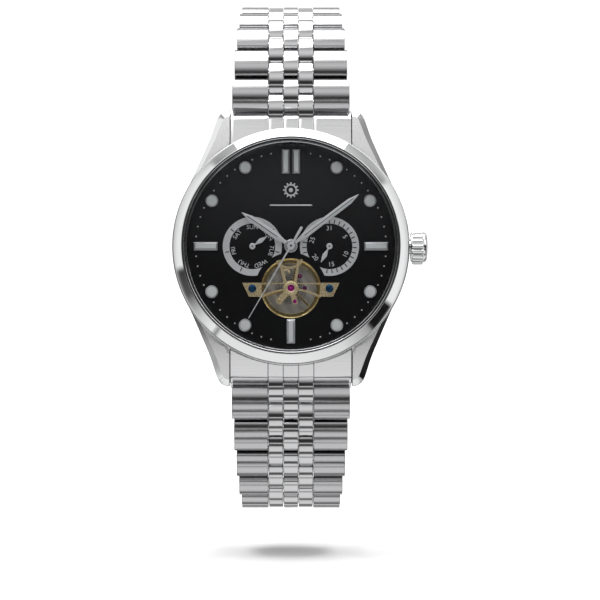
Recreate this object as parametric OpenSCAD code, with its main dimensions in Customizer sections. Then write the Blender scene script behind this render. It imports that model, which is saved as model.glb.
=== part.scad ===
// Automatic wristwatch with an open balance, on a steel link bracelet closed round a wrist.
// The watch is drawn dial up: +z out of the dial, +y to 12 o'clock, +x to the crown, z = 0 on the
// outer face of the case back. wear() then stands it up, so that the dial faces -Y and 12 is +Z.

/* [Case] */
// Outer radius of the mid-case
case_r = 21.25; // [21:0.05:21.5]
// Height of the mid-case's top above the case-back face
case_top = 8; // [7.9:0.05:8.1]
// Width between the lugs
lug_gap = 22; // [21.9:0.05:22.1]
// Distance from the dial centre to each spring bar
bar_y = 21.6; // [21.5:0.05:21.7]
// Height of the spring bars above the case-back face
bar_z = 2.6; // [2.5:0.05:2.7]
// Outer radius of the bezel
bezel_r = 21.05; // [20.6:0.05:21.1]
// Radius of the crystal
crystal_r = 18.85; // [18.7:0.05:18.9]
// Radius of the see-through glass in the case back
back_glass_r = 14; // [13:0.1:14.5]

/* [Crown] */
// Radius of the crown
crown_r = 3.13; // [2.8:0.01:3.2]
// Height of the crown's axis above the case-back face
crown_z = 4.9; // [4.8:0.05:5]
// Number of flutes on the crown
flutes = 20; // [16:1:24]

/* [Dial] */
// Radius of the balance aperture
aperture_r = 5.4; // [5.3:0.05:5.5]
// Distance of the aperture's centre below the dial centre
aperture_drop = 7.5; // [7.4:0.05:7.6]
// Distance of each sub-dial from the dial centre
subdial_x = 6.9; // [6.85:0.05:7]
// Inner and outer radius of the sub-dial rings
subdial_ring = [4.1, 5.3]; // [3.9:0.1:5.3]

/* [Hands] */
// Direction of the hour hand, clockwise from 12
hour_angle = 304.4; // [0:0.1:360]
// Direction of the minute hand
minute_angle = 52.7; // [0:0.1:360]
// Direction of the seconds hand
seconds_angle = 210.2; // [0:0.1:360]
// Direction of the day hand
day_angle = 56; // [0:0.1:360]
// Direction of the date hand
date_angle = 207.8; // [0:0.1:360]

/* [Bracelet] */
// Pitch of the bracelet's rows
pitch = 6; // [5.9:0.05:6.1]
// Half width of the first row and of the rows near the clasp
row_half = [10.6, 9]; // [9:0.1:10.6]
// How much each row is narrower than the one before it, on each side
row_step = 0.4; // [0.35:0.05:0.45]
// Tilt of the first row against the dial, worn
first_tilt = 12; // [11.5:0.5:12.5]
// Angle between neighbouring rows, worn
row_bend = 17.5; // [17.4:0.05:17.6]

/* [Hidden] */
LINKS = 10;
$fn = 96;

// Colours
STEEL = [0.78, 0.79, 0.8];
BRIGHT = [0.9, 0.91, 0.92];
BLACK = [0.06, 0.06, 0.07];
SILVER = [0.83, 0.84, 0.85];
GOLD = [0.83, 0.71, 0.45];
PLATE = [0.66, 0.66, 0.68];
RUBY = [0.6, 0.08, 0.45];
BLUED = [0.1, 0.26, 0.42];
BRASS = [0.8, 0.66, 0.36];
RUBBER = [0.12, 0.12, 0.12];

// Levels along z
back_top = 1.2;         // top of the case back's flange
plug_top = 2.2;         // top of its threaded collar
bridge_z = [2.4, 3];    // train bridge
plate_z = [4.6, 6.4];   // main plate
dial_z = [6.8, 7.2];    // dial
glass_z = [9, 10.4];    // crystal
pocket_floor = 5;       // floor of the balance pocket in the main plate
balance_z = [5.9, 6.5]; // balance rim
small_z = [7.4, 7.52];   // day and date hands
hour_z = [8, 8.15];      // hour hand
minute_z = [8.27, 8.42]; // minute hand
second_z = [8.54, 8.66]; // seconds hand

// Applied markers
marker_at = 16.35;       // distance of the round markers from the dial centre
bar_y0 = 13.1;           // inner end of the bars
bar_length = 4.3;
emblem_at = [0, 10.1];

// Movement layout, seen from the dial
balance_at = [0, -aperture_drop];
escape_at = [1.6, -5.2];
pallet_at = [2.49, -7.32];
third_at = [2.7, 4.68];
barrel_at = 5.85 * [cos(195), sin(195)];
pillars = [[-7, 9], [11, -3], [-6.5, -10.5]];
bridge_screw_x = 6.9;
center_r = 0.5;  // radius of the minute cannon
plate_r = 16.5;  // radius of the main plate
seat_r = 19.2;   // bore of the bezel and of the dial's seat
lip_r = 19.05;   // bore of the bezel's lip, round the crystal's gasket
link_edge = 24.25; // outer edge of the end pieces, as y

// Lugs and end links share one curved top, a cylinder across the watch
lug_top_r = 72;
lug_top_z = -63;

// Bracelet chain: centre line depth is -z
hinge_0 = [bar_y + 4.75, 3.4]; // first hinge, as [y, z]
end_tilt = 5;
lane_bead = 1.32;        // half width of the centre bead
lane_small = [1.41, 4];  // small beads
lane_outer = 4.1;        // inner edge of the outer pieces
row_gap = 0.3;
row_top = 1.7;           // height of a row's crown above its pins
row_bottom = 1.3;
pin_r = 0.5;
pin_hole_r = 0.6;
function tilt(i) = first_tilt + row_bend * (i - 1);
function ahead(t) = [cos(t), -sin(t)];
function row_at(i) = i == 1
    ? hinge_0 + pitch / 4 * ahead(tilt(1))
    : row_at(i - 1) + 3 * pitch / 4 * ahead(tilt(i - 1)) + pitch / 4 * ahead(tilt(i));
function half_width(i) = max(row_half[1], row_half[0] - row_step * (i - 1));

// Clasp: the folded blades and the cover follow an arc that carries on the last row's slope
clasp_hinge = row_at(LINKS) + 7 * pitch / 4 * ahead(tilt(LINKS));
clasp_r = clasp_hinge[0] / sin(180 - tilt(LINKS));
clasp_c = clasp_hinge[1] + sqrt(clasp_r * clasp_r - clasp_hinge[0] * clasp_hinge[0]);
function arc_z(y, off) = clasp_c - sqrt(pow(clasp_r + off, 2) - y * y);
fold_low = [-14, arc_z(-14, -0.5)];  // long blade to short blade
fold_high = [12, arc_z(12, 0.2)];    // short blade to cover
button_y = 4;

// ---------- shared shapes ----------

module wear() { rotate([90, 0, 0]) children(); }

module disc(r, z0, z1) { translate([0, 0, z0]) cylinder(r = r, h = z1 - z0); }

module ring(r0, r1, z0, z1) {
    difference() {
        disc(r1, z0, z1);
        disc(r0, z0 - 1, z1 + 1);
    }
}

module at(p, z = 0) { translate([p[0], p[1], z]) children(); }

module slab(z0, z1) { translate([0, 0, z0]) linear_extrude(z1 - z0) children(); }

module both_ends() {
    children();
    mirror([0, 1, 0]) children();
}

module both_sides() {
    children();
    mirror([1, 0, 0]) children();
}

module lathe() { rotate_extrude($fn = 120) children(); }

// Turns an outline drawn up from a hub to its angle clockwise from 12
module pointing(angle, p, z0, z1) {
    at(p) rotate(-angle) slab(z0, z1) children();
}

// A rod along x
module rod(r, x0, x1, y, z) {
    translate([x0, y, z]) rotate([0, 90, 0]) cylinder(r = r, h = x1 - x0, $fn = 48);
}

// The space under the curved top that the lugs and end links share
module under_top(drop) {
    rod(lug_top_r - drop, -30, 30, 0, lug_top_z, $fn = 360);
}

function tooth(n, m, i) = [for (q = [[-0.3, -1.1], [-0.13, 0.8], [0.13, 0.8], [0.3, -1.1]])
    let (a = 360 / n * (i + q[0]), r = m * (n / 2 + q[1])) r * [cos(a), sin(a)]];

module gear(n, m) { polygon([for (i = [0:n - 1], p = tooth(n, m, i)) p]); }

// A toothed wheel with arms between its rim and its hub
module spoked(n, m, rim, hub, arms, arm_w) {
    r = n * m / 2;
    difference() {
        gear(n, m);
        difference() {
            circle(r = r - rim);
            circle(r = hub);
            for (i = [0:arms - 1]) rotate(360 / arms * i) translate([0, -arm_w / 2]) square([r, arm_w]);
        }
    }
}

// ---------- case ----------

module lug_plan() {
    polygon([[lug_gap / 2, 12], [lug_gap / 2, 24.8], [12.5, 24.3], [13.3, 23.2], [14.4, 19.8],
             [15.9, 16.2], [17.9, 11.6], [19.75, 7.8]]);
}

module mid_case() {
    color(STEEL) wear() difference() {
        union() {
            lathe() polygon([[18, back_top], [20.5, back_top], [case_r, 2.2], [case_r, case_top - 0.15],
                             [case_r - 0.15, case_top], [18, case_top]]);
            intersection() {
                both_ends() both_sides() slab(0.6, case_top) lug_plan();
                under_top(0);
            }
            rod(1.25, 18.3, 22.5, 0, crown_z);
        }
        disc(18.25, -1, case_top + 1);
        disc(seat_r, dial_z[0], case_top + 1);
        disc(19, -1, plug_top);
        ring(19.1, 19.7, back_top - 1, back_top + 0.4);
        ring(19.85, 20.35, case_top - 0.6, case_top + 1);
        disc(20.5, -1, back_top);
        both_ends() intersection() {
            ring(bezel_r + 0.05, 24, 5, 9);
            translate([-10.95, 15, 4]) cube([21.9, 8, 6]);
        }
        both_ends() both_sides() rod(0.45, 10, 12.4, bar_y, bar_z);
        both_ends() rod(0.8, -11, 11, bar_y, bar_z);
        rod(0.62, 17, 24, 0, crown_z);
    }
}

module bezel() {
    color(BRIGHT) wear() lathe() polygon([
        [seat_r, case_top], [19.85, case_top], [19.85, 7.4], [20.35, 7.4], [20.35, case_top],
        [bezel_r, case_top], [bezel_r, 8.65], [bezel_r - 0.1, 8.85], [19.6, 10.4], [19.45, 10.5],
        [seat_r, 10.5], [lip_r, 10.35], [lip_r, glass_z[0]], [seat_r, glass_z[0]]]);
}

module crystal() {
    color([0.8, 0.9, 1, 0.25]) wear() lathe() polygon([
        [0, glass_z[0]], [crystal_r, glass_z[0]], [crystal_r, glass_z[1] - 0.3],
        [crystal_r - 0.3, glass_z[1]], [0, glass_z[1]]]);
}

module case_gaskets() {
    color(RUBBER) wear() {
        ring(crystal_r, lip_r, glass_z[0], 10);
        ring(19.1, 19.7, back_top, back_top + 0.4);
    }
}

module rehaut_ring() {
    color(BRIGHT) wear() lathe() polygon([[18.1, dial_z[1]], [19.15, dial_z[1]], [19.15, glass_z[0]],
                                          [18.6, glass_z[0]]]);
}

module case_back() {
    color(STEEL) wear() difference() {
        lathe() polygon([[back_glass_r - 0.4, 0], [19.4, 0], [20.3, 0.9], [20.3, back_top],
                         [18.95, back_top], [18.95, plug_top], [17.4, plug_top], [17.4, back_top],
                         [back_glass_r, back_top], [back_glass_r, 0.2], [back_glass_r - 0.4, 0.2]]);
        for (i = [0:5]) rotate(60 * i + 30) translate([17.6, -1, -1]) cube([1.3, 2, 1.5]);
    }
}

module case_back_glass() { color([0.8, 0.9, 1, 0.25]) wear() disc(back_glass_r, 0.2, back_top); }

// ---------- dial ----------

module dial() {
    color(BLACK) wear() difference() {
        disc(19, dial_z[0], dial_z[1]);
        at(balance_at) disc(aperture_r, 6, 8);
        disc(0.95, 6, 8);
        both_sides() at([subdial_x, 0]) {
            disc(0.35, 6, 8);
            disc(subdial_ring[0], dial_z[1] - 0.06, 8);
        }
        both_sides() at([bridge_screw_x, balance_at[1] - 0.1]) disc(0.35, 6, 8);
    }
}

module subdial_rings() {
    color(SILVER) wear() difference() {
        both_sides() at([subdial_x, 0]) ring(subdial_ring[0], subdial_ring[1], dial_z[1], dial_z[1] + 0.1);
        at(balance_at) disc(aperture_r + 1, 7, 8);
    }
}

module bar(x, width) {
    translate([x - width / 2, bar_y0, dial_z[1]]) cube([width, bar_length, 0.5]);
}

module applied_markers() {
    color(BRIGHT) wear() {
        both_sides() bar(0.95, 1.4);
        for (a = [90, 180, 270]) rotate(a) bar(0, 1.5);
        for (h = [1:11]) if (h % 3 != 0) rotate(-30 * h) at([0, marker_at]) disc(1.15, dial_z[1], dial_z[1] + 0.45);
        at(emblem_at) slab(dial_z[1], dial_z[1] + 0.25) {
            difference() {
                gear(12, 0.22);
                circle(r = 0.85);
            }
            circle(r = 0.4);
        }
        translate([-3.6, 7.3, dial_z[1]]) cube([7.2, 0.2, 0.12]);
    }
}

module tapered_hand(neck, from, wide, full, shoulder, tip) {
    polygon([[neck, 0], [neck, from], [wide, full], [wide - 0.06, shoulder], [0.04, tip], [-0.04, tip],
             [-wide + 0.06, shoulder], [-wide, full], [-neck, from], [-neck, 0]]);
}

module hour_hand() {
    color(BRIGHT) wear() difference() {
        union() {
            pointing(hour_angle, [0, 0], hour_z[0], hour_z[1]) {
                circle(r = 1.18);
                tapered_hand(0.35, 1.9, 0.62, 2.9, 9, 10.66);
            }
            disc(0.8, 6.5, hour_z[0]);
        }
        disc(0.6, 6, 9);
    }
}

module minute_hand() {
    color(BRIGHT) wear() difference() {
        union() {
            pointing(minute_angle, [0, 0], minute_z[0], minute_z[1]) {
                circle(r = 1.05);
                tapered_hand(0.32, 2, 0.55, 3, 13.6, 15.26);
            }
            disc(center_r, 6.5, minute_z[0]);
        }
        disc(0.3, 6, 9);
    }
}

module seconds_hand() {
    color(BRIGHT) wear() {
        pointing(seconds_angle, [0, 0], second_z[0], second_z[1]) {
            circle(r = 0.75);
            polygon([[0.16, 0], [0.07, 15], [-0.07, 15], [-0.16, 0]]);
            translate([-0.24, -3.7]) square([0.48, 3.7]);
            translate([0, -3.7]) circle(r = 0.24);
        }
        disc(0.2, 6.5, 8.75);
    }
}

module leaf_hand(angle, x, tip) {
    pointing(angle, [x, 0], small_z[0], small_z[1]) {
        circle(r = 0.57);
        polygon([[0.12, 0], [0.14, 0.8], [0.42, 1.75], [0.03, tip], [-0.03, tip], [-0.42, 1.75],
                 [-0.14, 0.8], [-0.12, 0]]);
    }
    at([x, 0]) disc(0.25, plate_z[1] + 0.1, 7.62);
}

module day_hand() { color(BRIGHT) wear() leaf_hand(day_angle, -subdial_x, 3.15); }

module date_hand() { color(BRIGHT) wear() leaf_hand(date_angle, subdial_x, 3.27); }

// ---------- movement ----------

module movement_ring() {
    color(PLATE) wear() difference() {
        union() {
            ring(16, 18.2, 2.4, plate_z[0]);
            ring(plate_r + 0.02, 18.2, plate_z[0], dial_z[0]);
        }
        rod(0.8, 10, 20, 0, crown_z);
    }
}

module main_plate() {
    color(PLATE) wear() difference() {
        union() {
            disc(plate_r, plate_z[0], plate_z[1]);
            ring(15.4, plate_r, plate_z[1], dial_z[0]);
        }
        at(balance_at) {
            disc(aperture_r + 0.3, pocket_floor, 7);
            disc(1.2, 4, 7);
        }
        disc(0.9, 4, 7);
        at(third_at) disc(0.45, 4, plate_z[0] + 0.4);
        at(escape_at) disc(0.42, 4, 6);
        at(pallet_at) disc(0.38, 4, 6);
        at(barrel_at) disc(0.6, 4, plate_z[0] + 0.5);
        both_sides() at([bridge_screw_x, balance_at[1] - 0.1]) disc(0.35, 5.5, 8);
        rod(0.62, 12.4, 20, 0, crown_z);
    }
}

module train_bridge() {
    color(PLATE) wear() difference() {
        union() {
            disc(15.8, bridge_z[0], bridge_z[1]);
            for (p = pillars) at(p) disc(1.3, bridge_z[1], plate_z[0]);
            disc(1, 1.3, bridge_z[0]);
        }
        for (p = pillars) at(p) {
            disc(0.95, 2, 2.7);
            disc(0.45, 2, 4.2);
        }
        for (p = [[0, 0], third_at, escape_at, pallet_at, balance_at]) at(p) disc(0.4, 2.6, 4);
        at(barrel_at) disc(0.6, 2.6, 4);
        for (a = [18, 62, 106, 290]) rotate(a) slab(2, 4) intersection() {
            difference() {
                circle(r = 14.4);
                circle(r = 11.9);
            }
            polygon([[0, 0], [20, 0], 20 * [cos(30), sin(30)]]);
        }
    }
}

module jewel(p, r, hole, z0, z1) { at(p) ring(hole, r, z0, z1); }

module jewels() {
    color(RUBY) wear() {
        for (p = [[0, 0], third_at, escape_at, pallet_at, balance_at]) jewel(p, 0.4, 0.12, 2.6, bridge_z[1]);
        jewel(third_at, 0.45, 0.12, plate_z[0], plate_z[0] + 0.4);
        jewel(escape_at, 0.42, 0.12, plate_z[0], pocket_floor);
        jewel(pallet_at, 0.38, 0.12, plate_z[0], pocket_floor);
        jewel(balance_at, 0.62, 0.12, 7.25, 7.6);
        at(balance_at + [0.72, -2.4]) disc(0.34, 7.3, 7.62);
    }
}

module bridge_leg(angle, length, width) {
    rotate(angle) translate([0, -width / 2]) square([length, width]);
    rotate(angle) translate([length, 0]) circle(r = width / 2);
}

// Outline of the balance bridge about the balance staff
module bridge_plan() {
    difference() {
        polygon([[-8.7, 0.93], [8.7, 0.93], [7.5, -1.55], [-7.5, -1.55]]);
        circle(r = aperture_r - 0.15);
    }
    circle(r = 1.38);
    intersection() {
        circle(r = aperture_r + 0.1);
        union() {
            both_sides() translate([1, 0.7]) square([4.6, 0.23]);
            difference() {
                translate([0, -11]) circle(r = 10.95, $fn = 180);
                translate([0, -11]) circle(r = 10.6, $fn = 180);
                translate([-1, -2]) square([2, 4]);
            }
            translate([-0.3, 6.05]) difference() {
                circle(r = 2.65);
                circle(r = 2.2);
            }
            polygon([[0.5, 0.9], [1, 0.9], [1.5, 3.9], [2.15, 4.75], [1.15, 5.2], [1, 3.9]]);
            polygon([[-1.25, 0.6], [-0.75, 1.1], [-1.5, 3.9], [-1.9, 5.1], [-2.7, 4.6], [-1.95, 3.8]]);
        }
    }
    bridge_leg(227.6, 3.1, 1.15);
    bridge_leg(286.7, 2.6, 1);
}

module balance_bridge() {
    color(GOLD) wear() at(balance_at) difference() {
        slab(dial_z[1], 7.6) bridge_plan();
        disc(0.62, 7.25, 8);
        disc(0.2, 7, 8);
        at([0.72, -2.4]) disc(0.34, 7.3, 8);
        both_sides() at([bridge_screw_x, -0.1]) disc(0.35, 7, 8);
    }
}

module movement_screws() {
    color(BLUED) wear() {
        both_sides() at([bridge_screw_x, balance_at[1] - 0.1]) {
            disc(0.35, 5.6, 7.6);
            difference() {
                disc(0.7, 7.6, 7.85);
                rotate(35) translate([-1, -0.09, 7.72]) cube([2, 0.18, 1]);
            }
        }
        at(balance_at + 3 * [cos(227.6), sin(227.6)]) disc(0.26, 7.6, 7.8);
        for (p = pillars) at(p) {
            disc(0.45, 2.7, 4.2);
            difference() {
                disc(0.95, 2.4, 2.7);
                translate([-1, -0.1, 2]) cube([2, 0.2, 0.55]);
            }
        }
    }
}

module center_wheel() {
    color(BRASS) wear() difference() {
        union() {
            slab(4.2, 4.4) spoked(75, 0.127, 0.7, 1.3, 5, 0.5);
            slab(3.62, 4.2) gear(12, 0.13);
            disc(center_r, 4.4, 6.5);
        }
        disc(0.3, 3, 7);
    }
}

module third_wheel() {
    color(BRASS) wear() at(third_at) {
        slab(3.36, 3.5) spoked(80, 0.12, 0.65, 1.1, 5, 0.45);
        slab(4.12, 4.5) gear(10, 0.127);
        disc(0.3, 3.05, 4.55);
        disc(0.1, 2.65, 4.95);
    }
}

module fourth_wheel() {
    color(BRASS) wear() {
        slab(3.1, 3.24) spoked(84, 0.1196, 0.65, 1.1, 5, 0.45);
        slab(3.24, 3.55) gear(10, 0.12);
        disc(0.2, 3.05, 6.5);
        disc(0.1, 2.65, 3.1);
    }
}

module escape_wheel() {
    color(BRASS) wear() at(escape_at) {
        slab(3.75, 3.9) difference() {
            polygon([for (i = [0:14], q = [[0, 1.45], [0.12, 1.95], [0.22, 1.93], [0.35, 1.5]])
                let (a = 24 * (i + q[0])) q[1] * [cos(a), sin(a)]]);
            difference() {
                circle(r = 1.25);
                circle(r = 0.5);
                for (i = [0:3]) rotate(90 * i) translate([0, -0.12]) square([2, 0.24]);
            }
        }
        slab(3.08, 3.75) gear(7, 0.1196);
        disc(0.25, 3.05, 4.55);
        disc(0.1, 2.65, 4.95);
    }
}

// Lever with two pallet stones at the escape wheel and a fork at the balance roller
module pallet_fork() {
    to_escape = escape_at - pallet_at;
    to_balance = balance_at - pallet_at;
    aim = atan2(to_balance[1], to_balance[0]);
    look = atan2(to_escape[1], to_escape[0]);
    color(STEEL) wear() at(pallet_at) {
        slab(4, 4.2) {
            circle(r = 0.45);
            rotate(aim) translate([0, -0.11]) square([1.45, 0.22]);
            rotate(aim) for (s = [-1, 1]) translate([1.35, 0.2 * s - 0.06]) square([0.35, 0.12]);
            rotate(aim) translate([1.25, -0.26]) square([0.15, 0.52]);
            rotate(look) for (s = [-1, 1]) rotate(46 * s) translate([0, -0.12]) square([1.42, 0.24]);
        }
        disc(0.25, 3.1, 4.55);
        disc(0.1, 2.65, 4.95);
    }
}

module balance_wheel() {
    color(GOLD) wear() at(balance_at) {
        ring(4.55, 5.1, balance_z[0], balance_z[1]);
        slab(6.05, 6.3) difference() {
            union() {
                circle(r = 0.75);
                for (a = [-44, 76, 196]) rotate(a) translate([0, -0.2]) square([4.7, 0.4]);
            }
            circle(r = 0.2);
        }
        disc(0.22, 3.05, 7);
        disc(0.1, 2.65, 7.5);
        disc(0.8, 4.4, 4.6);
        disc(0.45, 5.75, 6.05);
    }
}

turns = 5;
function coil(w) = [for (i = [0:turns * 20]) let (a = 18 * i, r = 0.75 + i * 2 / (turns * 20) + w)
    r * [cos(a), sin(a)]];
function backwards(v) = [for (i = [len(v) - 1:-1:0]) v[i]];

module hairspring() {
    color(BLUED) wear() at(balance_at) {
        ring(0.22, 0.8, 5.25, 5.6);
        slab(5.35, 5.5) polygon(concat(coil(0), backwards(coil(0.06))));
    }
}

module barrel() {
    color(BRASS) wear() at(barrel_at) {
        disc(4.6, 3.3, 3.95);
        slab(3.66, 3.8) gear(78, 0.13);
        disc(0.55, 2.65, 4.95);
    }
}

// Half-disc winding weight on the bearing post
module rotor() {
    color(STEEL) wear() difference() {
        union() {
            disc(2.6, 1.5, 2.2);
            slab(1.8, 2.2) intersection() {
                circle(r = 15.6);
                polygon([[0, 0], 25 * [cos(190), sin(190)], [-25, -25], [25, -25],
                         25 * [cos(-10), sin(-10)]]);
            }
            slab(1.35, 2.2) intersection() {
                difference() {
                    circle(r = 15.6);
                    circle(r = 12.4);
                }
                polygon([[0, 0], 25 * [cos(190), sin(190)], [-25, -25], [25, -25],
                         25 * [cos(-10), sin(-10)]]);
            }
        }
        disc(1.1, 1, 3);
        for (i = [0:4]) slab(1, 3) intersection() {
            difference() {
                circle(r = 11);
                circle(r = 4.2);
            }
            rotate(-160 + 30 * i) polygon([[0, 0], [20, -3], [20, 3]]);
        }
    }
}

// ---------- crown ----------

function flute(a) = crown_r - 0.13 + 0.13 * cos(flutes * a);

module crown() {
    color(STEEL) wear() translate([0, 0, crown_z]) rotate([0, 90, 0]) difference() {
        union() {
            intersection() {
                slab(21.7, 23.7) polygon([for (i = [0:flutes * 8 - 1]) let (a = 360 * i / (flutes * 8))
                    flute(a) * [cos(a), sin(a)]]);
                lathe() polygon([[0, 21.7], [crown_r - 0.3, 21.7], [crown_r, 22], [crown_r, 23.3],
                                 [crown_r - 0.35, 23.7], [0, 23.7]]);
            }
            lathe() polygon([[0, 21.45], [2.5, 21.45], [2.7, 21.6], [2.7, 24], [2.4, 24.35],
                             [1.6, 24.5], [0, 24.55]]);
        }
        disc(1.75, 21, 23.4);
        disc(0.45, 22, 23.9);
    }
}

module crown_gasket() {
    color(RUBBER) wear() translate([0, 0, crown_z]) rotate([0, 90, 0]) ring(1.3, 1.72, 21.7, 22.3);
}

module stem() {
    color(STEEL) wear() {
        rod(0.45, 14.2, 23.9, 0, crown_z);
        rod(0.3, 12.7, 14.2, 0, crown_z);
    }
}

// ---------- bracelet ----------

// A barrel-shaped piece between two x planes, centred on the row's pins
module barrel_piece(x0, x1, length, top, bottom) {
    h = length / 2;
    top_r = (h * h + 1) / 2;
    bottom_r = (h * h + 0.16) / 0.8;
    intersection() {
        translate([x0, -h, -bottom]) cube([x1 - x0, length, top + bottom]);
        rod(top_r, x0 - 1, x1 + 1, 0, top - top_r, $fn = 96);
        rod(bottom_r, x0 - 1, x1 + 1, 0, bottom_r - bottom, $fn = 96);
    }
}

module small_beads(y) {
    both_sides() translate([0, y, 0])
        barrel_piece(lane_small[0], lane_small[1], pitch - row_gap, row_top - 0.1, row_bottom);
}

module row(half, y) {
    translate([0, y, 0]) {
        both_sides() barrel_piece(lane_outer, half, pitch - row_gap, row_top, row_bottom);
        barrel_piece(-lane_bead, lane_bead, pitch - row_gap, row_top, row_bottom);
        for (s = [-1, 1]) rod(pin_r, 0.5 - half, half - 0.5, s * pitch / 4, 0);
    }
}

module link_body(i) {
    rows = i == LINKS ? 2 : 1;
    last = (rows - 1) * pitch;
    for (k = [0:rows - 1]) row(half_width(i), k * pitch);
    difference() {
        for (k = [0:rows - 1]) small_beads((k + 0.5) * pitch);
        rod(pin_hole_r, -half_width(i), half_width(i), last + 3 * pitch / 4, 0);
    }
}

module place_link(i) {
    p = row_at(i);
    translate([0, p[0], p[1]]) rotate([-tilt(i), 0, 0]) link_body(i);
}

module upper_link(i) { color(STEEL) wear() place_link(i); }

module lower_link(i) { color(STEEL) wear() mirror([0, 1, 0]) place_link(i); }

// Solid end piece between the lugs, with two bead tongues that carry the first hinge
module end_piece() {
    difference() {
        union() {
            difference() {
                intersection() {
                    translate([-10.85, 15, 0.9]) cube([21.7, link_edge - 15, 7]);
                    under_top(0.25);
                }
                disc(case_r + 0.05, -1, 5.05);
                disc(bezel_r + 0.1, 5, 9);
                for (x = [-lane_outer, -1.37, 1.37, lane_outer]) difference() {
                    translate([x - 0.06, 15, 2]) cube([0.12, 12, 6]);
                    under_top(0.55);
                }
            }
            translate([0, hinge_0[0], hinge_0[1]]) rotate([-end_tilt, 0, 0]) difference() {
                small_beads(-pitch / 4);
                rod(pin_hole_r, -11, 11, 0, 0);
            }
        }
        rod(0.8, -12, 12, bar_y, bar_z);
    }
}

module end_links() { color(STEEL) wear() both_ends() end_piece(); }

module spring_bars() {
    color(STEEL) wear() both_ends() {
        rod(0.75, -10.6, 10.6, bar_y, bar_z);
        rod(0.4, -12.2, 12.2, bar_y, bar_z);
    }
}

// ---------- clasp ----------

// Part of a curved plate between two offsets from the clasp's arc
module arc_plate(off0, off1, y0, y1, x0, x1) {
    intersection() {
        difference() {
            rod(clasp_r + off1, x0, x1, 0, clasp_c, $fn = 360);
            rod(clasp_r + off0, x0 - 1, x1 + 1, 0, clasp_c, $fn = 360);
        }
        translate([x0 - 1, y0, -60]) cube([x1 - x0 + 2, y1 - y0, 40]);
    }
}

module clasp_long_blade() {
    h = clasp_hinge;
    color(STEEL) wear() {
        difference() {
            union() {
                arc_plate(-1.3, -0.6, -13, 18.2, -7.2, 7.2);
                arc_plate(-1.3, -0.6, -14, -12.9, -2.4, 2.4);
                for (x = [[-lane_bead, lane_bead], [lane_outer, 7.2], [-7.2, -lane_outer]]) {
                    arc_plate(-1.3, 0.75, 17.2, h[0], x[0], x[1]);
                    rod(1.05, x[0], x[1], h[0], h[1]);
                }
                rod(0.8, -2.4, 2.4, fold_low[0], fold_low[1]);
            }
            rod(0.4, -3, 3, fold_low[0], fold_low[1]);
        }
        rod(pin_r, -6.8, 6.8, h[0], h[1]);
    }
}

module clasp_short_blade() {
    color(STEEL) wear() difference() {
        union() {
            arc_plate(-0.4, 0.3, -12.9, 11, -6.2, 6.2);
            arc_plate(-0.4, 0.3, 10.9, fold_high[0], -2.3, 2.3);
            rod(0.6, -2.3, 2.3, fold_high[0], fold_high[1]);
            for (x = [[2.5, 6.2], [-6.2, -2.5]]) {
                arc_plate(-0.9, 0.3, fold_low[0], -13.1, x[0], x[1]);
                arc_plate(-0.4, 0.3, -13.2, -12.8, x[0], x[1]);
                rod(0.8, x[0], x[1], fold_low[0], fold_low[1]);
            }
            rod(0.3, -5.5, 5.5, fold_low[0], fold_low[1]);
        }
        rod(0.35, -3, 3, fold_high[0], fold_high[1]);
    }
}

module clasp_cover() {
    color(STEEL) wear() difference() {
        union() {
            arc_plate(0.9, row_top, -19, 19, -9, 9);
            both_sides() arc_plate(-0.7, 1, -19, 19, 8.1, 9);
            arc_plate(-0.8, 1, -18.1, -16.8, -8.2, 8.2);
            for (x = [[2.4, 4.4], [-4.4, -2.4]]) {
                rod(0.65, x[0], x[1], fold_high[0], fold_high[1]);
                arc_plate(0.2, 1, fold_high[0] - 0.65, fold_high[0] + 0.65, x[0], x[1]);
            }
            rod(0.28, -4.2, 4.2, fold_high[0], fold_high[1]);
        }
        both_ends() translate([-lane_outer, 18.1, -60]) cube([2 * lane_outer, 3, 50]);
        translate([-12, button_y - 2.6, arc_z(button_y, 0.75)]) cube([24, 5.2, 1.2]);
    }
}

module button() {
    color(BRIGHT) wear() {
        translate([7.6, button_y - 2.5, arc_z(button_y, 0.75) + 0.08]) cube([1.9, 5, 1.04]);
        translate([7.58, button_y - 3.2, arc_z(button_y, 0.75) + 0.08]) cube([0.5, 6.4, 1.04]);
    }
}

module clasp_button_right() { button(); }

module clasp_button_left() { mirror([1, 0, 0]) button(); }

// ---------- drawing ----------

mid_case();
bezel();
crystal();
case_gaskets();
rehaut_ring();
dial();
subdial_rings();
applied_markers();
movement_ring();
main_plate();
train_bridge();
balance_bridge();
jewels();
movement_screws();
case_back();
case_back_glass();
end_links();
spring_bars();
hour_hand();
minute_hand();
seconds_hand();
day_hand();
date_hand();
center_wheel();
third_wheel();
fourth_wheel();
escape_wheel();
pallet_fork();
balance_wheel();
hairspring();
barrel();
rotor();
crown();
stem();
crown_gasket();
clasp_cover();
clasp_long_blade();
clasp_short_blade();
clasp_button_left();
clasp_button_right();
for (i = [1:LINKS]) upper_link(i);
for (i = [1:LINKS]) lower_link(i);
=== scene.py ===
"""Looks of an automatic wristwatch with an open balance, on a steel link bracelet.

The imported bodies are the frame. Shapes are drawn in the watch's own millimetres, dial up, with +x to
the crown and +y to 12 o'clock, and WEAR then stands them in the frame, where the dial faces -Y.
"""

from __future__ import annotations

import logging
import math
from collections.abc import Callable, Sequence
from dataclasses import dataclass, field
from enum import Enum

import bmesh
import bpy
from mathutils import Matrix, Vector

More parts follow.
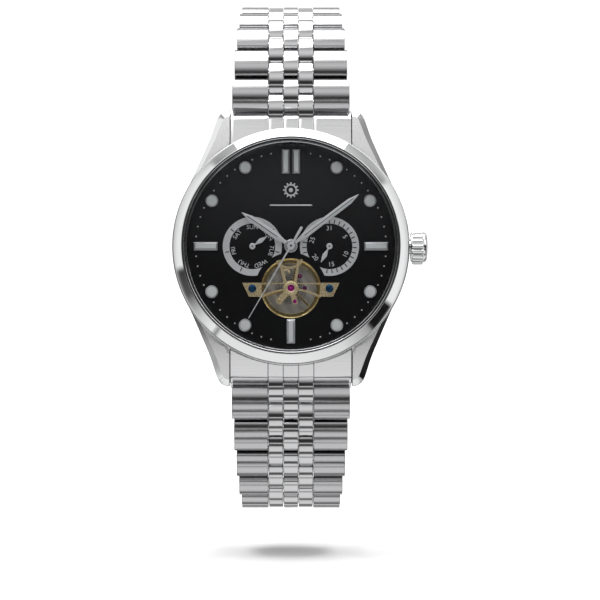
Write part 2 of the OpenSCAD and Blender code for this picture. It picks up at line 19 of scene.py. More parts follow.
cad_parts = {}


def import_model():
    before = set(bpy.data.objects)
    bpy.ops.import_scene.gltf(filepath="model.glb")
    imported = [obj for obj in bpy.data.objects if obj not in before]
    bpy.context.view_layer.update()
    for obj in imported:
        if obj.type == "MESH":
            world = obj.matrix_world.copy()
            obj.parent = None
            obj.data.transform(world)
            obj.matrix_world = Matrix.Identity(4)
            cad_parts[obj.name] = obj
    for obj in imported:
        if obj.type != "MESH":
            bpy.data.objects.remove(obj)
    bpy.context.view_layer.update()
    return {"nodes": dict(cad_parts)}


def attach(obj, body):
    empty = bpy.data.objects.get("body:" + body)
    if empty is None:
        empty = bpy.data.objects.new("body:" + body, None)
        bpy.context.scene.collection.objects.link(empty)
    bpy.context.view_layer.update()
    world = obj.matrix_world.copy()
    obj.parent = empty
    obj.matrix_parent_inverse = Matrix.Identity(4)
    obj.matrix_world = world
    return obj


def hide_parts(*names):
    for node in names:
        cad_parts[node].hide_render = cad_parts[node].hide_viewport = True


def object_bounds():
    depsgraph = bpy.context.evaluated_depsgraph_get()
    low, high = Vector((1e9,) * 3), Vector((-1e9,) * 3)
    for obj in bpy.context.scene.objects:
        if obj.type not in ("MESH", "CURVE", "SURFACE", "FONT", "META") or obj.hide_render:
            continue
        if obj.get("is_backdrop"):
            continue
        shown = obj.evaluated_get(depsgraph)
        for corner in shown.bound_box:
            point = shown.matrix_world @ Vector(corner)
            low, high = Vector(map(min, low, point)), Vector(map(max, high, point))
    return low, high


log = logging.getLogger("watch")
MM = 0.001
WEAR = Matrix(((MM, 0, 0, 0), (0, 0, -MM, 0), (0, MM, 0, 0), (0, 0, 0, 1)))
Point = tuple[float, float]
Outline = list[Point]
# Places on the dial, in millimetres: how far the sub-dials are from the middle, and the balance.
SUBDIAL = 6.9
SUBDIAL_AXES = ((-SUBDIAL * MM, 0.0), (SUBDIAL * MM, 0.0))
BALANCE: Point = (0.0, -7.5)


class Finish(Enum):
    """The surface finishes of the watch's pieces."""

    POLISHED = "polished_steel"
    SATIN = "satin_steel"
    SATIN_LUG = "lug_satin_steel"
    BEAD = "bead_steel"
    LINK = "link_satin_steel"
    # The dial's base colour holds a painted sheen, grey towards 12 o'clock.
    DIAL = "dial_lacquer"
    SILVERED = "silvered_ring"
    PRINT = "white_print"
    DARK_PRINT = "dark_print"
    LUME = "lume"
    GILT = "gilt_bridge"
    BRASS = "gear_brass"
    NICKEL = "nickel_plate"
    ROTOR = "striped_rotor"
    RUBY = "ruby"
    BLUED = "blued_steel"
    HAND = "satin_hand"
    RIM = "marker_rim"
    GOLD = "polished_gilt"
    GLASS = "crystal_glass"
    # Real rubber of the gaskets; the same finish colours the dark sheets in the end links' gaps, which are
    # painted shade.
    RUBBER = "gasket_rubber"


# ---------------------------------------------------------------- shader and geometry node maths


class Socket:
    """An output of a node, with arithmetic that adds Math nodes to the same tree."""

    def __init__(self, graph: "Graph", socket: bpy.types.NodeSocket) -> None:
        """Wraps one output socket of graph."""
        self.graph = graph
        self.socket = socket

    def _math(self, operation: str, first: "Value", second: "Value") -> "Socket":
        """A Math node of two values."""
        return self.graph.node("ShaderNodeMath", {"operation": operation}, {0: first, 1: second})

    def __add__(self, other: "Value") -> "Socket":
        """self + other"""
        return self._math("ADD", self, other)

    def __sub__(self, other: "Value") -> "Socket":
        """self - other"""
        return self._math("SUBTRACT", self, other)

    def __mul__(self, other: "Value") -> "Socket":
        """self * other"""
        return self._math("MULTIPLY", self, other)

    def __truediv__(self, other: "Value") -> "Socket":
        """self / other"""
        return self._math("DIVIDE", self, other)

    def __lt__(self, other: "Value") -> "Socket":
        """1 where self is below other, otherwise 0"""
        return self._math("LESS_THAN", self, other)

    def wave(self) -> "Socket":
        """The sine of self, in radians."""
        return self.graph.node("ShaderNodeMath", {"operation": "SINE"}, {0: self})


Value = Socket | float | int | tuple | str | bpy.types.ID


class Graph:
    """A node tree that is built one node at a time."""

    def __init__(self, tree: bpy.types.NodeTree) -> None:
        """Starts on an existing, empty tree."""
        self.tree = tree

    def node(self, kind: str, settings: dict[str, object] | None = None,
             inputs: dict[int | str, Value] | None = None, out: int | str = 0) -> Socket:
        """Adds a node.

        Args:
            kind: The node's type name.
            settings: Properties, set first; a ramp's stops are given as "stops".
            inputs: Values or sockets by input name or index.
            out: The output that is returned.

        Returns:
            The chosen output, wrapped.
        """
        made = self.tree.nodes.new(kind)
        for name, value in (settings or {}).items():
            if name == "stops":
                self._ramp(made.color_ramp, value)
            else:
                setattr(made, name, value)
        for name, value in (inputs or {}).items():
            if isinstance(value, Socket):
                self.tree.links.new(value.socket, made.inputs[name])
            else:
                made.inputs[name].default_value = value
        return Socket(self, made.outputs[out]) if len(made.outputs) else Socket(self, None)

    @staticmethod
    def _ramp(ramp: bpy.types.ColorRamp, stops: Sequence[tuple[float, float]]) -> None:
        """Sets the stops of a grey ramp.

        Args:
            ramp: The ramp.
            stops: Its stops as (place, brightness).
        """
        while len(ramp.elements) < len(stops):
            ramp.elements.new(0.5)
        for element, (place, level) in zip(ramp.elements, stops):
            element.position = place
            element.color = (level, level, level, 1)

    def place(self) -> Socket:
        """The piece's own coordinates, in metres."""
        return self.node("ShaderNodeTexCoord", out="Object")

    def axes(self) -> tuple[Socket, Socket, Socket]:
        """The three coordinates of place(), in metres."""
        split = self.node("ShaderNodeSeparateXYZ", None, {0: self.place()})
        outs = split.socket.node.outputs
        return tuple(Socket(self, outs[i]) for i in range(3))

    def noise(self, scale: tuple[float, float, float], detail: float = 3) -> Socket:
        """Noise stretched by a different scale along each axis, from 0 to 1."""
        mapped = self.node("ShaderNodeMapping", None, {"Vector": self.place(), "Scale": scale})
        return self.node("ShaderNodeTexNoise", None, {"Vector": mapped, "Scale": 1.0, "Detail": detail})

    def blend(self, share: Value, first: Value, second: Value) -> Socket:
        """A colour between first and second."""
        return self.node("ShaderNodeMix", {"data_type": "RGBA"},
                         {0: share, 6: first, 7: second}, out=2)

    def length(self, first: Socket, second: Socket) -> Socket:
        """The length of a line with two perpendicular parts."""
        return self.node("ShaderNodeMath", {"operation": "POWER"}, {0: first * first + second * second, 1: 0.5})

    def rings(self, centres: Sequence[Point], reach: float, pitch: float) -> Value:
        """The height of fine rings turned round each centre.

        Args:
            centres: The rings' axes as (x, z), in metres.
            reach: Radius of the outermost ring.
            pitch: Distance from one ring to the next.

        Returns:
            A wave from -1 to 1 within reach of a centre, and 0 elsewhere.
        """
        x, _, z = self.axes()
        height: Value = 0.0
        for cx, cz in centres:
            radius = self.length(x - cx, z - cz)
            height = (radius * (2 * math.pi / pitch)).wave() * (radius < reach) + height
        return height

    def bump(self, height: Socket, strength: float, distance: float) -> Socket:
        """A normal from a height."""
        return self.node("ShaderNodeBump", None,
                         {"Height": height, "Strength": strength, "Distance": distance})


def rgb(red: float, green: float, blue: float) -> tuple[float, float, float, float]:
    """An opaque colour."""
    return (red, green, blue, 1.0)


@dataclass(frozen=True)
class Metal:
    """A metal finish: polished if grain is None, otherwise with a grain of fine lines."""

    colour: tuple[float, float, float, float]
    roughness: float
    spread: float = 0.03
    grain: tuple[float, float, float] | None = None
    depth: float = 0.25

    def dress(self, graph: Graph) -> dict[str, Value]:
        """Adds the nodes of the metal.

        Args:
            graph: The material's tree.

        Returns:
            Values or sockets by the name of the surface shader's input.
        """
        soft = graph.noise((90.0, 90.0, 90.0), 2)
        inputs: dict[str, Value] = {"Metallic": 1.0}
        if self.grain is None:
            inputs["Roughness"] = soft * self.spread + (self.roughness - self.spread / 2)
            inputs["Base Color"] = graph.blend(soft, self.colour, rgb(*(c * 0.93 for c in self.colour[:3])))
            return inputs
        lines = graph.noise(self.grain, 4)
        inputs["Roughness"] = lines * self.spread + soft * 0.06 + (self.roughness - self.spread / 2)
        inputs["Base Color"] = graph.blend(lines, rgb(*(c * 0.86 for c in self.colour[:3])), self.colour)
        inputs["Normal"] = graph.bump(lines, self.depth, 0.00004)
        return inputs


@dataclass(frozen=True)
class Solid:
    """A finish that isn't metal."""

    colour: tuple[float, float, float, float]
    roughness: float
    coat: float = 0.0
    mottle: float = 0.08
    scale: float = 2500.0

    def dress(self, graph: Graph) -> dict[str, Value]:
        """Adds the nodes of the finish.

        Args:
            graph: The material's tree.

        Returns:
            Values or sockets by the name of the surface shader's input.
        """
        fine = graph.noise((self.scale, self.scale, self.scale), 3)
        darker = rgb(*(c * (1 - self.mottle * 2) for c in self.colour[:3]))
        return {"Base Color": graph.blend(fine, darker, self.colour),
                "Roughness": fine * 0.06 + (self.roughness - 0.03), "Coat Weight": self.coat,
                "Coat Roughness": 0.04, "Normal": graph.bump(fine, 0.06, 0.00002)}


@dataclass(frozen=True)
class Concentric:
    """A metal or lacquer turned on a lathe about an axis through (x, z), with fine rings."""

    colour: tuple[float, float, float, float]
    roughness: float
    metallic: float
    centres: tuple[Point, ...] = ((0.0, 0.0),)
    reach: float = 0.05
    pitch: float = 0.00016
    depth: float = 0.35

    def dress(self, graph: Graph) -> dict[str, Value]:
        """Adds the nodes of the rings round each centre.

        Args:
            graph: The material's tree.

        Returns:
            Values or sockets by the name of the surface shader's input.
        """
        height = graph.rings(self.centres, self.reach, self.pitch)
        soft = graph.noise((600.0, 600.0, 600.0), 3)
        return {"Metallic": self.metallic, "Base Color": graph.blend(soft, self.colour, rgb(
                    *(c * 0.85 for c in self.colour[:3]))),
                "Roughness": soft * 0.08 + (self.roughness - 0.04),
                "Normal": graph.bump(height, self.depth, 0.00001)}


@dataclass(frozen=True)
class Sheen:
    """Black lacquer over turned metal, with a painted sheen: the base colour turns grey towards 12 o'clock and
    stays black towards 6, as painted reflected light.
    """

    colour: tuple[float, float, float, float]
    # sheen: the grey of the painted sheen, which the base colour takes near 12 o'clock.
    sheen: tuple[float, float, float, float]
    roughness: float
    bright: float = 0.017
    dark: float = -0.006
    centres: tuple[Point, ...] = SUBDIAL_AXES
    reach: float = 0.0041
    pitch: float = 0.0003

    def dress(self, graph: Graph) -> dict[str, Value]:
        """Adds the nodes of the finish.

        Args:
            graph: The material's tree.

        Returns:
            Values or sockets by the name of the surface shader's input.
        """
        height = graph.rings(self.centres, self.reach, self.pitch)
        z = graph.axes()[2]
        # Painted sheen: the base colour goes from the lacquer's black to the sheen's grey with height, as
        # painted reflected light.
        fade = graph.node("ShaderNodeMapRange", {"interpolation_type": "SMOOTHSTEP"},
                          {"Value": z, "From Min": self.dark, "From Max": self.bright})
        fine = graph.noise((2500.0, 2500.0, 2500.0), 3)
        return {"Base Color": graph.blend(fade, self.colour, self.sheen),
                "Roughness": fine * 0.06 + (self.roughness - 0.03), "Specular IOR Level": 0.25,
                "Normal": graph.bump(height, 0.5, 0.00001)}


@dataclass(frozen=True)
class Satin:
    """Fine matt metal that scatters light evenly, as on hands and applied hubs."""

    colour: tuple[float, float, float, float]
    metallic: float
    roughness: float

    def dress(self, graph: Graph) -> dict[str, Value]:
        """Adds the nodes of the finish.

        Args:
            graph: The material's tree.

        Returns:
            Values or sockets by the name of the surface shader's input.
        """
        fine = graph.noise((9000.0, 3000.0, 9000.0), 3)
        darker = rgb(*(c * 0.94 for c in self.colour[:3]))
        return {"Metallic": self.metallic, "Base Color": graph.blend(fine, darker, self.colour),
                "Roughness": fine * 0.1 + (self.roughness - 0.05), "Normal": graph.bump(fine, 0.04, 0.000002)}


@dataclass(frozen=True)
class Striped:
    """Nickel with broad straight stripes, as on a decorated rotor or plate."""

    colour: tuple[float, float, float, float]
    roughness: float
    pitch: float

    def dress(self, graph: Graph) -> dict[str, Value]:
        """Adds the nodes of the finish.

        Args:
            graph: The material's tree.

        Returns:
            Values or sockets by the name of the surface shader's input.
        """
        x, _, z = graph.axes()
        stripe = ((x + z * 0.6) * (2 * math.pi / self.pitch)).wave() * 0.5 + 0.5
        grain = graph.noise((2200.0, 2200.0, 2200.0), 4)
        return {"Metallic": 0.6, "Base Color": graph.blend(stripe, rgb(
                    *(c * 0.8 for c in self.colour[:3])), self.colour),
                "Roughness": stripe * 0.12 + grain * 0.06 + (self.roughness - 0.06),
                "Normal": graph.bump(stripe * 0.7 + grain * 0.3, 0.3, 0.00003)}


def clear_glass(graph: Graph) -> Socket:
    """Clear glass: see-through face on, with a mirror-like skin at a slant.

    Args:
        graph: The material's tree.

    Returns:
        The surface shader.
    """
    slant = graph.node("ShaderNodeLayerWeight", None, {"Blend": 0.5}, out="Facing")
    skin = slant * slant * slant * slant * 0.5 + 0.012
    clear = graph.node("ShaderNodeBsdfTransparent", None, {"Color": rgb(0.985, 0.99, 0.995)})
    gloss = graph.node("ShaderNodeBsdfGlossy", None, {"Color": rgb(0.9, 0.93, 1.0), "Roughness": 0.02})
    return graph.node("ShaderNodeMixShader", None, {0: skin, 1: clear, 2: gloss})


Look = Metal | Solid | Concentric | Sheen | Satin | Striped
FINISHES: dict[Finish, Look] = {
    Finish.POLISHED: Metal(rgb(0.86, 0.865, 0.87), 0.045, 0.02),
    Finish.BEAD: Metal(rgb(0.68, 0.68, 0.69), 0.09, 0.04),
    Finish.LINK: Metal(rgb(0.58, 0.58, 0.59), 0.12, 0.06, (60.0, 9000.0, 9000.0), 0.2),
    Finish.SATIN: Metal(rgb(0.79, 0.79, 0.8), 0.13, 0.06, (60.0, 9000.0, 9000.0), 0.2),
    Finish.SATIN_LUG: Metal(rgb(0.77, 0.77, 0.78), 0.24, 0.1, (9000.0, 9000.0, 120.0), 0.08),
    # The dial's grey towards 12 o'clock is a painted sheen in its base colour.
    Finish.DIAL: Sheen(rgb(0.002, 0.002, 0.0025), rgb(0.034, 0.034, 0.036), 0.34),
    Finish.HAND: Satin(rgb(0.8, 0.805, 0.81), 0.45, 0.36),
    Finish.SILVERED: Concentric(rgb(0.8, 0.805, 0.81), 0.36, 0.35, SUBDIAL_AXES, 0.0056, 0.00012, 0.25),
    Finish.PRINT: Solid(rgb(0.75, 0.76, 0.77), 0.5),
    Finish.DARK_PRINT: Solid(rgb(0.02, 0.02, 0.02), 0.5),
    Finish.LUME: Solid(rgb(0.78, 0.8, 0.79), 0.55, 0.0, 0.05, 6000.0),
    Finish.GILT: Satin(rgb(0.98, 0.79, 0.47), 0.72, 0.27),
    Finish.GOLD: Metal(rgb(0.98, 0.8, 0.42), 0.16, 0.06),
    Finish.RIM: Satin(rgb(0.5, 0.5, 0.51), 0.7, 0.3),
    Finish.BRASS: Concentric(rgb(0.82, 0.62, 0.3), 0.25, 1.0),
    Finish.NICKEL: Striped(rgb(0.62, 0.59, 0.55), 0.36, 0.0021),
    Finish.ROTOR: Striped(rgb(0.66, 0.67, 0.69), 0.3, 0.0032),
    Finish.RUBY: Solid(rgb(0.36, 0.005, 0.22), 0.12, 0.9, 0.2, 3000.0),
    Finish.BLUED: Metal(rgb(0.03, 0.12, 0.25), 0.2, 0.08),
    # Rubber of the gaskets, and the painted shade of the dark sheets in the end links' gaps.
    Finish.RUBBER: Solid(rgb(0.012, 0.012, 0.012), 0.7),
}
_made: dict[Finish, bpy.types.Material] = {}


def material(finish: Finish) -> bpy.types.Material:
    """The material of a finish, made the first time that it is asked for.

    Args:
        finish: The finish.

    Returns:
        Its material, which pieces with the same finish share.
    """
    if finish in _made:
        return _made[finish]
    made = bpy.data.materials.new(finish.value)
    made.use_nodes = True
    made.node_tree.nodes.clear()
    graph = Graph(made.node_tree)
    if finish is Finish.GLASS:
        surface = clear_glass(graph)
    else:
        surface = graph.node("ShaderNodeBsdfPrincipled", None, FINISHES[finish].dress(graph))
    graph.node("ShaderNodeOutputMaterial", None, {"Surface": surface})
    _made[finish] = made
    return made


# ---------------------------------------------------------------- shapes


def arc(cx: float, cy: float, radius: float, start: float, end: float, count: int) -> Outline:
    """Points along an arc.

    Args:
        cx: Its centre's first coordinate.
        cy: Its centre's second coordinate.
        radius: Its radius.
        start: Where it starts, in degrees.
        end: Where it ends, in degrees.
        count: How many steps it has.

    Returns:
        The points, with both ends.
    """
    angles = [math.radians(start + (end - start) * i / count) for i in range(count + 1)]
    return [(cx + radius * math.cos(a), cy + radius * math.sin(a)) for a in angles]


def smooth_line(points: Sequence[Point], steps: int = 5) -> Outline:
    """A Catmull-Rom curve.

    Args:
        points: The points that it goes through.
        steps: How many steps there are from one point to the next.

    Returns:
        Points along the curve, with both ends.
    """
    out: Outline = []
    last = len(points) - 1
    for i in range(last):
        p0, p1, p2, p3 = (points[max(0, min(last, i + k))] for k in (-1, 0, 1, 2))
        for s in range(steps):
            t = s / steps
            out.append(tuple(0.5 * (2 * p1[c] + (p2[c] - p0[c]) * t
                                    + (2 * p0[c] - 5 * p1[c] + 4 * p2[c] - p3[c]) * t * t
                                    + (3 * p1[c] - p0[c] - 3 * p2[c] + p3[c]) * t ** 3) for c in (0, 1)))
    return out + [points[-1]]


def turn(degrees: float) -> Matrix:
    """A turn about z, anticlockwise."""
    return Matrix.Rotation(math.radians(degrees), 4, "Z")


class Shape:
    """A mesh in the making, in the watch's millimetres, with a finish for each face."""

    def __init__(self) -> None:
        """Starts empty."""
        self.mesh = bmesh.new()
        self.finishes: list[Finish] = []

    def slot(self, finish: Finish) -> int:
        """The material index of a finish."""
        if finish not in self.finishes:
            self.finishes.append(finish)
        return self.finishes.index(finish)

    def add(self, points: Sequence[Sequence[float]], faces: Sequence[Sequence[int]], finish: Finish,
            place: Matrix | None = None) -> "Shape":
        """Adds faces over new points.

        Args:
            points: Corner positions.
            faces: Corner indices of each face.
            finish: The finish of all of them.
            place: Where they go.

        Returns:
            The shape itself.
        """
        move = place or Matrix.Identity(4)
        verts = [self.mesh.verts.new(move @ Vector(p)) for p in points]
        for corners in faces:
            made = self.mesh.faces.new([verts[i] for i in corners])
            made.material_index = self.slot(finish)
        return self

    def lathe(self, profile: Sequence[Point], finish: Finish | Sequence[Finish], segments: int = 192,
              place: Matrix | None = None) -> "Shape":
        """Turns a closed profile of (radius, height) corners about z.

        Args:
            profile: The corners, anticlockwise as seen with radius to the right.
            finish: One finish, or one for each side of the profile.
            segments: How many steps there are in the turn.
            place: Where it goes.

        Returns:
            The shape itself.
        """
        move = place or Matrix.Identity(4)
        n = len(profile)
        rings = []
        for radius, height in profile:
            if radius < 1e-9:
                rings.append([self.mesh.verts.new(move @ Vector((0, 0, height)))] * segments)
                continue
            rings.append([self.mesh.verts.new(move @ Vector((
                radius * math.cos(2 * math.pi * k / segments),
                radius * math.sin(2 * math.pi * k / segments), height))) for k in range(segments)])
        for i in range(n):
            a, b = rings[i], rings[(i + 1) % n]
            if a[0] is a[1] and b[0] is b[1]:
                continue
            index = self.slot(finish if isinstance(finish, Finish) else finish[i])
            for k in range(segments):
                corners = [a[k], a[(k + 1) % segments], b[(k + 1) % segments], b[k]]
                unique = list(dict.fromkeys(corners))
                self.mesh.faces.new(unique).material_index = index
        return self

    def prism(self, loops: Sequence[Outline], low: float, high: float, finish: Finish,
              place: Matrix | None = None) -> "Shape":
        """Extrudes an outline with holes from low to high.

        Args:
            loops: The outer outline, then its holes.
            low: Height of the underside.
            high: Height of the top.
            finish: The finish of all faces.
            place: Where it goes.

        Returns:
            The shape itself.
        """
        move = place or Matrix.Identity(4)
        flat = bmesh.new()
        for loop in loops:
            verts = [flat.verts.new((x, y, 0)) for x, y in loop]
            for i, vert in enumerate(verts):
                flat.edges.new((vert, verts[(i + 1) % len(verts)]))
        bmesh.ops.triangle_fill(flat, edges=flat.edges[:], use_beauty=True, normal=(0, 0, 1))
        flat.verts.index_update()
        points = [v.co.copy() for v in flat.verts]
        caps = [[v.index for v in f.verts] for f in flat.faces]
        rims = [(e.verts[0].index, e.verts[1].index) for e in flat.edges if len(e.link_faces) == 1]
        flat.free()
        count = len(points)
        verts = [(p.x, p.y, high) for p in points] + [(p.x, p.y, low) for p in points]
        faces = caps + [[i + count for i in reversed(c)] for c in caps]
        faces += [[a, b, b + count, a + count] for a, b in rims]
        return self.add(verts, faces, finish, move)

    def barrel(self, x0: float, x1: float, length: float, top: float, bottom: float, finish: Finish,
               place: Matrix | None = None) -> "Shape":
        """A rounded bracelet piece between two x planes: convex above and nearly flat below.

        Args:
            x0: Its first side.
            x1: Its second side.
            length: Its length along y.
            top: Height of its crest.
            bottom: Depth of its underside's lowest line.
            finish: The finish of all faces.
            place: Where it goes.

        Returns:
            The shape itself.
        """
        half = length / 2
        rise, sag = 1.0, 0.4
        top_r, bottom_r = (half ** 2 + rise ** 2) / (2 * rise), (half ** 2 + sag ** 2) / (2 * sag)
        steps, few = 18, 8
        above = [(y, top - top_r + math.sqrt(top_r ** 2 - y * y))
                 for y in (half * (1 - 2 * i / steps) for i in range(steps + 1))]
        below = [(y, bottom_r - bottom - math.sqrt(bottom_r ** 2 - y * y))
                 for y in (half * (2 * i / few - 1) for i in range(few + 1))]
        side = above + below
        n = len(side)
        points = [(x0, y, z) for y, z in side] + [(x1, y, z) for y, z in side]
        faces = [[i, (i + 1) % n, (i + 1) % n + n, i + n] for i in range(n)]
        faces += [list(range(n))[::-1], list(range(n, 2 * n))]
        return self.add(points, faces, finish, place)

    def rod(self, radius: float, x0: float, x1: float, finish: Finish, place: Matrix | None = None,
            sides: int = 24) -> "Shape":
        """A rod along x."""
        turned = (place or Matrix.Identity(4)) @ Matrix.Rotation(math.pi / 2, 4, "Y")
        return self.lathe([(0, x0), (radius, x0), (radius, x1), (0, x1)], finish, sides, turned)

    def plate(self, lines: tuple[Sequence[float], Sequence[float]], low: Callable[[float], float],
              high: Callable[[float], float], finish: Finish,
              keep: Callable[[float, float], bool] = lambda x, y: True) -> "Shape":
        """A curved plate over a grid, without the cells that keep leaves out.

        Args:
            lines: The grid's x and y lines.
            low: Height of the underside at y.
            high: Height of the top at y.
            finish: The finish of all faces.
            keep: Says whether the cell with a centre at x, y is there.

        Returns:
            The shape itself.
        """
        xs, ys = lines
        cells = {(i, j) for i in range(len(xs) - 1) for j in range(len(ys) - 1)
                 if keep((xs[i] + xs[i + 1]) / 2, (ys[j] + ys[j + 1]) / 2)}
        index: dict[tuple[int, int, int], int] = {}
        points: list[tuple[float, float, float]] = []

        def corner(i: int, j: int, level: int) -> int:
            """The index of a grid corner, made when first used."""
            key = (i, j, level)
            if key not in index:
                index[key] = len(points)
                points.append((xs[i], ys[j], high(ys[j]) if level else low(ys[j])))
            return index[key]

        faces = []
        for i, j in sorted(cells):
            faces.append([corner(i, j, 1), corner(i + 1, j, 1), corner(i + 1, j + 1, 1), corner(i, j + 1, 1)])
            faces.append([corner(i, j, 0), corner(i, j + 1, 0), corner(i + 1, j + 1, 0), corner(i + 1, j, 0)])
            for di, dj, p, q in ((-1, 0, (i, j + 1), (i, j)), (1, 0, (i + 1, j), (i + 1, j + 1)),
                                 (0, -1, (i, j), (i + 1, j)), (0, 1, (i + 1, j + 1), (i, j + 1))):
                if (i + di, j + dj) not in cells:
                    faces.append([corner(*p, 1), corner(*p, 0), corner(*q, 0), corner(*q, 1)])
        return self.add(points, faces, finish)


def build(name: str, shape: Shape, body: str | None, bevel: float = 0.0, angle: float = 32.0,
          place: Matrix = WEAR, segments: int = 2) -> bpy.types.Object:
    """Makes a shape an object that rides on a body.

    Args:
        name: The piece's name.
        shape: What it is made of.
        body: The CAD body that it moves with, or None for a prototype.
        bevel: Width of its rounded edges, in millimetres.
        angle: Edges sharper than this, in degrees, are rounded.
        place: From the watch's millimetres to the frame.
        segments: Steps in each rounded edge.

    Returns:
        The object.
    """
    bmesh.ops.recalc_face_normals(shape.mesh, faces=shape.mesh.faces[:])
    mesh = bpy.data.meshes.new(name)
    shape.mesh.to_mesh(mesh)
    shape.mesh.free()
    for finish in shape.finishes:
        mesh.materials.append(material(finish))
    mesh.transform(place)
    return finish_piece(name, mesh, body, bevel, angle, segments)


def finish_piece(name: str, mesh: bpy.types.Mesh, body: str | None, bevel: float = 0.0,
                 angle: float = 32.0, segments: int = 2) -> bpy.types.Object:
    """Shades a mesh, rounds its edges and lets it ride on a body.

    Args:
        name: The piece's name.
        mesh: Its mesh, in the frame.
        body: The CAD body that it moves with, or None for a prototype.
        bevel: Width of its rounded edges, in millimetres.
        angle: Edges sharper than this, in degrees, are rounded.
        segments: Steps in each rounded edge.

    Returns:
        The object.
    """
    mesh.polygons.foreach_set("use_smooth", [True] * len(mesh.polygons))
    mesh.set_sharp_from_angle(angle=math.radians(angle))
    made = bpy.data.objects.new(name, mesh)
    bpy.context.scene.collection.objects.link(made)
    if bevel:
        rounding = made.modifiers.new("rounding", "BEVEL")
        rounding.width = bevel * MM
        rounding.segments = segments
        rounding.limit_method = "ANGLE"
        rounding.angle_limit = math.radians(angle)
        rounding.harden_normals = False
        weigh = made.modifiers.new("normals", "WEIGHTED_NORMAL")
        weigh.keep_sharp = False
    if body is not None:
        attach(made, body)
        log.info("%s: %d faces on %s", name, len(mesh.polygons), body)
    return made


def rounded_copy(node: bpy.types.Object, name: str, body: str, finish: Finish,
                 bevel: float) -> bpy.types.Object:
    """A merged copy of a CAD node with rounded edges, which stands for it.

    Args:
        node: The CAD node.
        name: The copy's name.
        body: The CAD body that it moves with.
        finish: The finish of all faces.
        bevel: Width of its rounded edges, in millimetres.

    Returns:
        The copy.
    """
    same_point, same_plane = 2e-6, math.radians(1.0)
    work = bmesh.new()
    work.from_mesh(node.data)
    bmesh.ops.remove_doubles(work, verts=work.verts[:], dist=same_point)
    bmesh.ops.dissolve_limit(work, angle_limit=same_plane, verts=work.verts[:], edges=work.edges[:])
    mesh = bpy.data.meshes.new(name)
    work.to_mesh(mesh)
    work.free()
    mesh.materials.clear()
    mesh.materials.append(material(finish))
    for polygon in mesh.polygons:
        polygon.material_index = 0
    made = finish_piece(name, mesh, body, bevel)
    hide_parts(node.name)
    return made


# ---------------------------------------------------------------- repeated pieces


class Repeater:
    """Sets copies of prototypes on points with Geometry Nodes, and turns the result into one mesh."""

    def __init__(self, name: str, kinds: int = 1) -> None:
        """Builds the tree.

        Args:
            name: The tree's name.
            kinds: How many kinds of prototype it sets out.
        """
        self.name = name
        self.kinds = kinds
        self.tree = bpy.data.node_groups.new(name, "GeometryNodeTree")
        face = self.tree.interface
        face.new_socket(name="Points", in_out="INPUT", socket_type="NodeSocketGeometry")
        self.inputs = [face.new_socket(name=f"Prototype {k + 1}", in_out="INPUT",
                                       socket_type="NodeSocketObject").identifier for k in range(kinds)]
        self.finish_inputs = [face.new_socket(name=f"Finish {k + 1}", in_out="INPUT",
                                              socket_type="NodeSocketMaterial").identifier
                              for k in range(kinds)]
        face.new_socket(name="Pieces", in_out="OUTPUT", socket_type="NodeSocketGeometry")
        self._wire()

    def _wire(self) -> None:
        """Places each kind's prototype on the points that carry its number."""
        graph = Graph(self.tree)
        entry = self.tree.nodes.new("NodeGroupInput")
        out = self.tree.nodes.new("NodeGroupOutput")
        join = self.tree.nodes.new("GeometryNodeJoinGeometry")
        kind = graph.node("GeometryNodeInputNamedAttribute", {"data_type": "FLOAT"}, {"Name": "kind"},
                          out="Attribute")
        angle = graph.node("GeometryNodeInputNamedAttribute", {"data_type": "FLOAT_VECTOR"},
                           {"Name": "turned"}, out="Attribute")
        for k in range(self.kinds):
            proto = graph.node("GeometryNodeObjectInfo", None,
                               {"Object": Socket(graph, entry.outputs[1 + k])}, out="Geometry")
            chosen = graph.node("FunctionNodeCompare", {"data_type": "FLOAT", "operation": "EQUAL"},
                                {0: kind, 1: float(k), "Epsilon": 0.1})
            placed = graph.node("GeometryNodeInstanceOnPoints", None, {
                "Points": Socket(graph, entry.outputs[0]), "Selection": chosen,
                "Instance": proto, "Rotation": angle})
            real = graph.node("GeometryNodeRealizeInstances", None, {"Geometry": placed})
            set_one = graph.node("GeometryNodeSetMaterial", None, {
                "Geometry": real, "Material": Socket(graph, entry.outputs[1 + self.kinds + k])})
            self.tree.links.new(set_one.socket, join.inputs[0])
        self.tree.links.new(join.outputs[0], out.inputs[0])

    def mesh(self, prototypes: Sequence[tuple[Shape, Finish]],
             spots: Sequence[tuple[Sequence[float], tuple[float, float, float], int]],
             place: Matrix = WEAR) -> bpy.types.Mesh:
        """Makes the mesh of all copies.

        Args:
            prototypes: A shape and its finish for each kind, in millimetres.
            spots: The place, the turn in degrees about x, y and z, and the kind of each copy.
            place: From millimetres to the frame.

        Returns:
            A plain mesh in the frame.
        """
        protos = [build(f"proto_{self.name}_{k}", shape, None, place=Matrix.Identity(4))
                  for k, (shape, _) in enumerate(prototypes)]
        mesh = bpy.data.meshes.new("spots")
        mesh.from_pydata([s[0] for s in spots], [], [])
        mesh.attributes.new("kind", "FLOAT", "POINT").data.foreach_set("value", [float(s[2]) for s in spots])
        turned = [math.radians(a) for s in spots for a in s[1]]
        mesh.attributes.new("turned", "FLOAT_VECTOR", "POINT").data.foreach_set("vector", turned)
        holder = bpy.data.objects.new("spots", mesh)
        bpy.context.scene.collection.objects.link(holder)
        modifier = holder.modifiers.new("repeat", "NODES")
        modifier.node_group = self.tree
        for key, proto in zip(self.inputs, protos):
            modifier[key] = proto
        for key, (_, finish) in zip(self.finish_inputs, prototypes):
            modifier[key] = material(finish)
        bpy.context.view_layer.update()
        graph = bpy.context.evaluated_depsgraph_get()
        made = bpy.data.meshes.new_from_object(holder.evaluated_get(graph), preserve_all_data_layers=False,
                                               depsgraph=graph)
        for gone in [holder, *protos]:
            bpy.data.objects.remove(gone)
        made.transform(place)
        return made


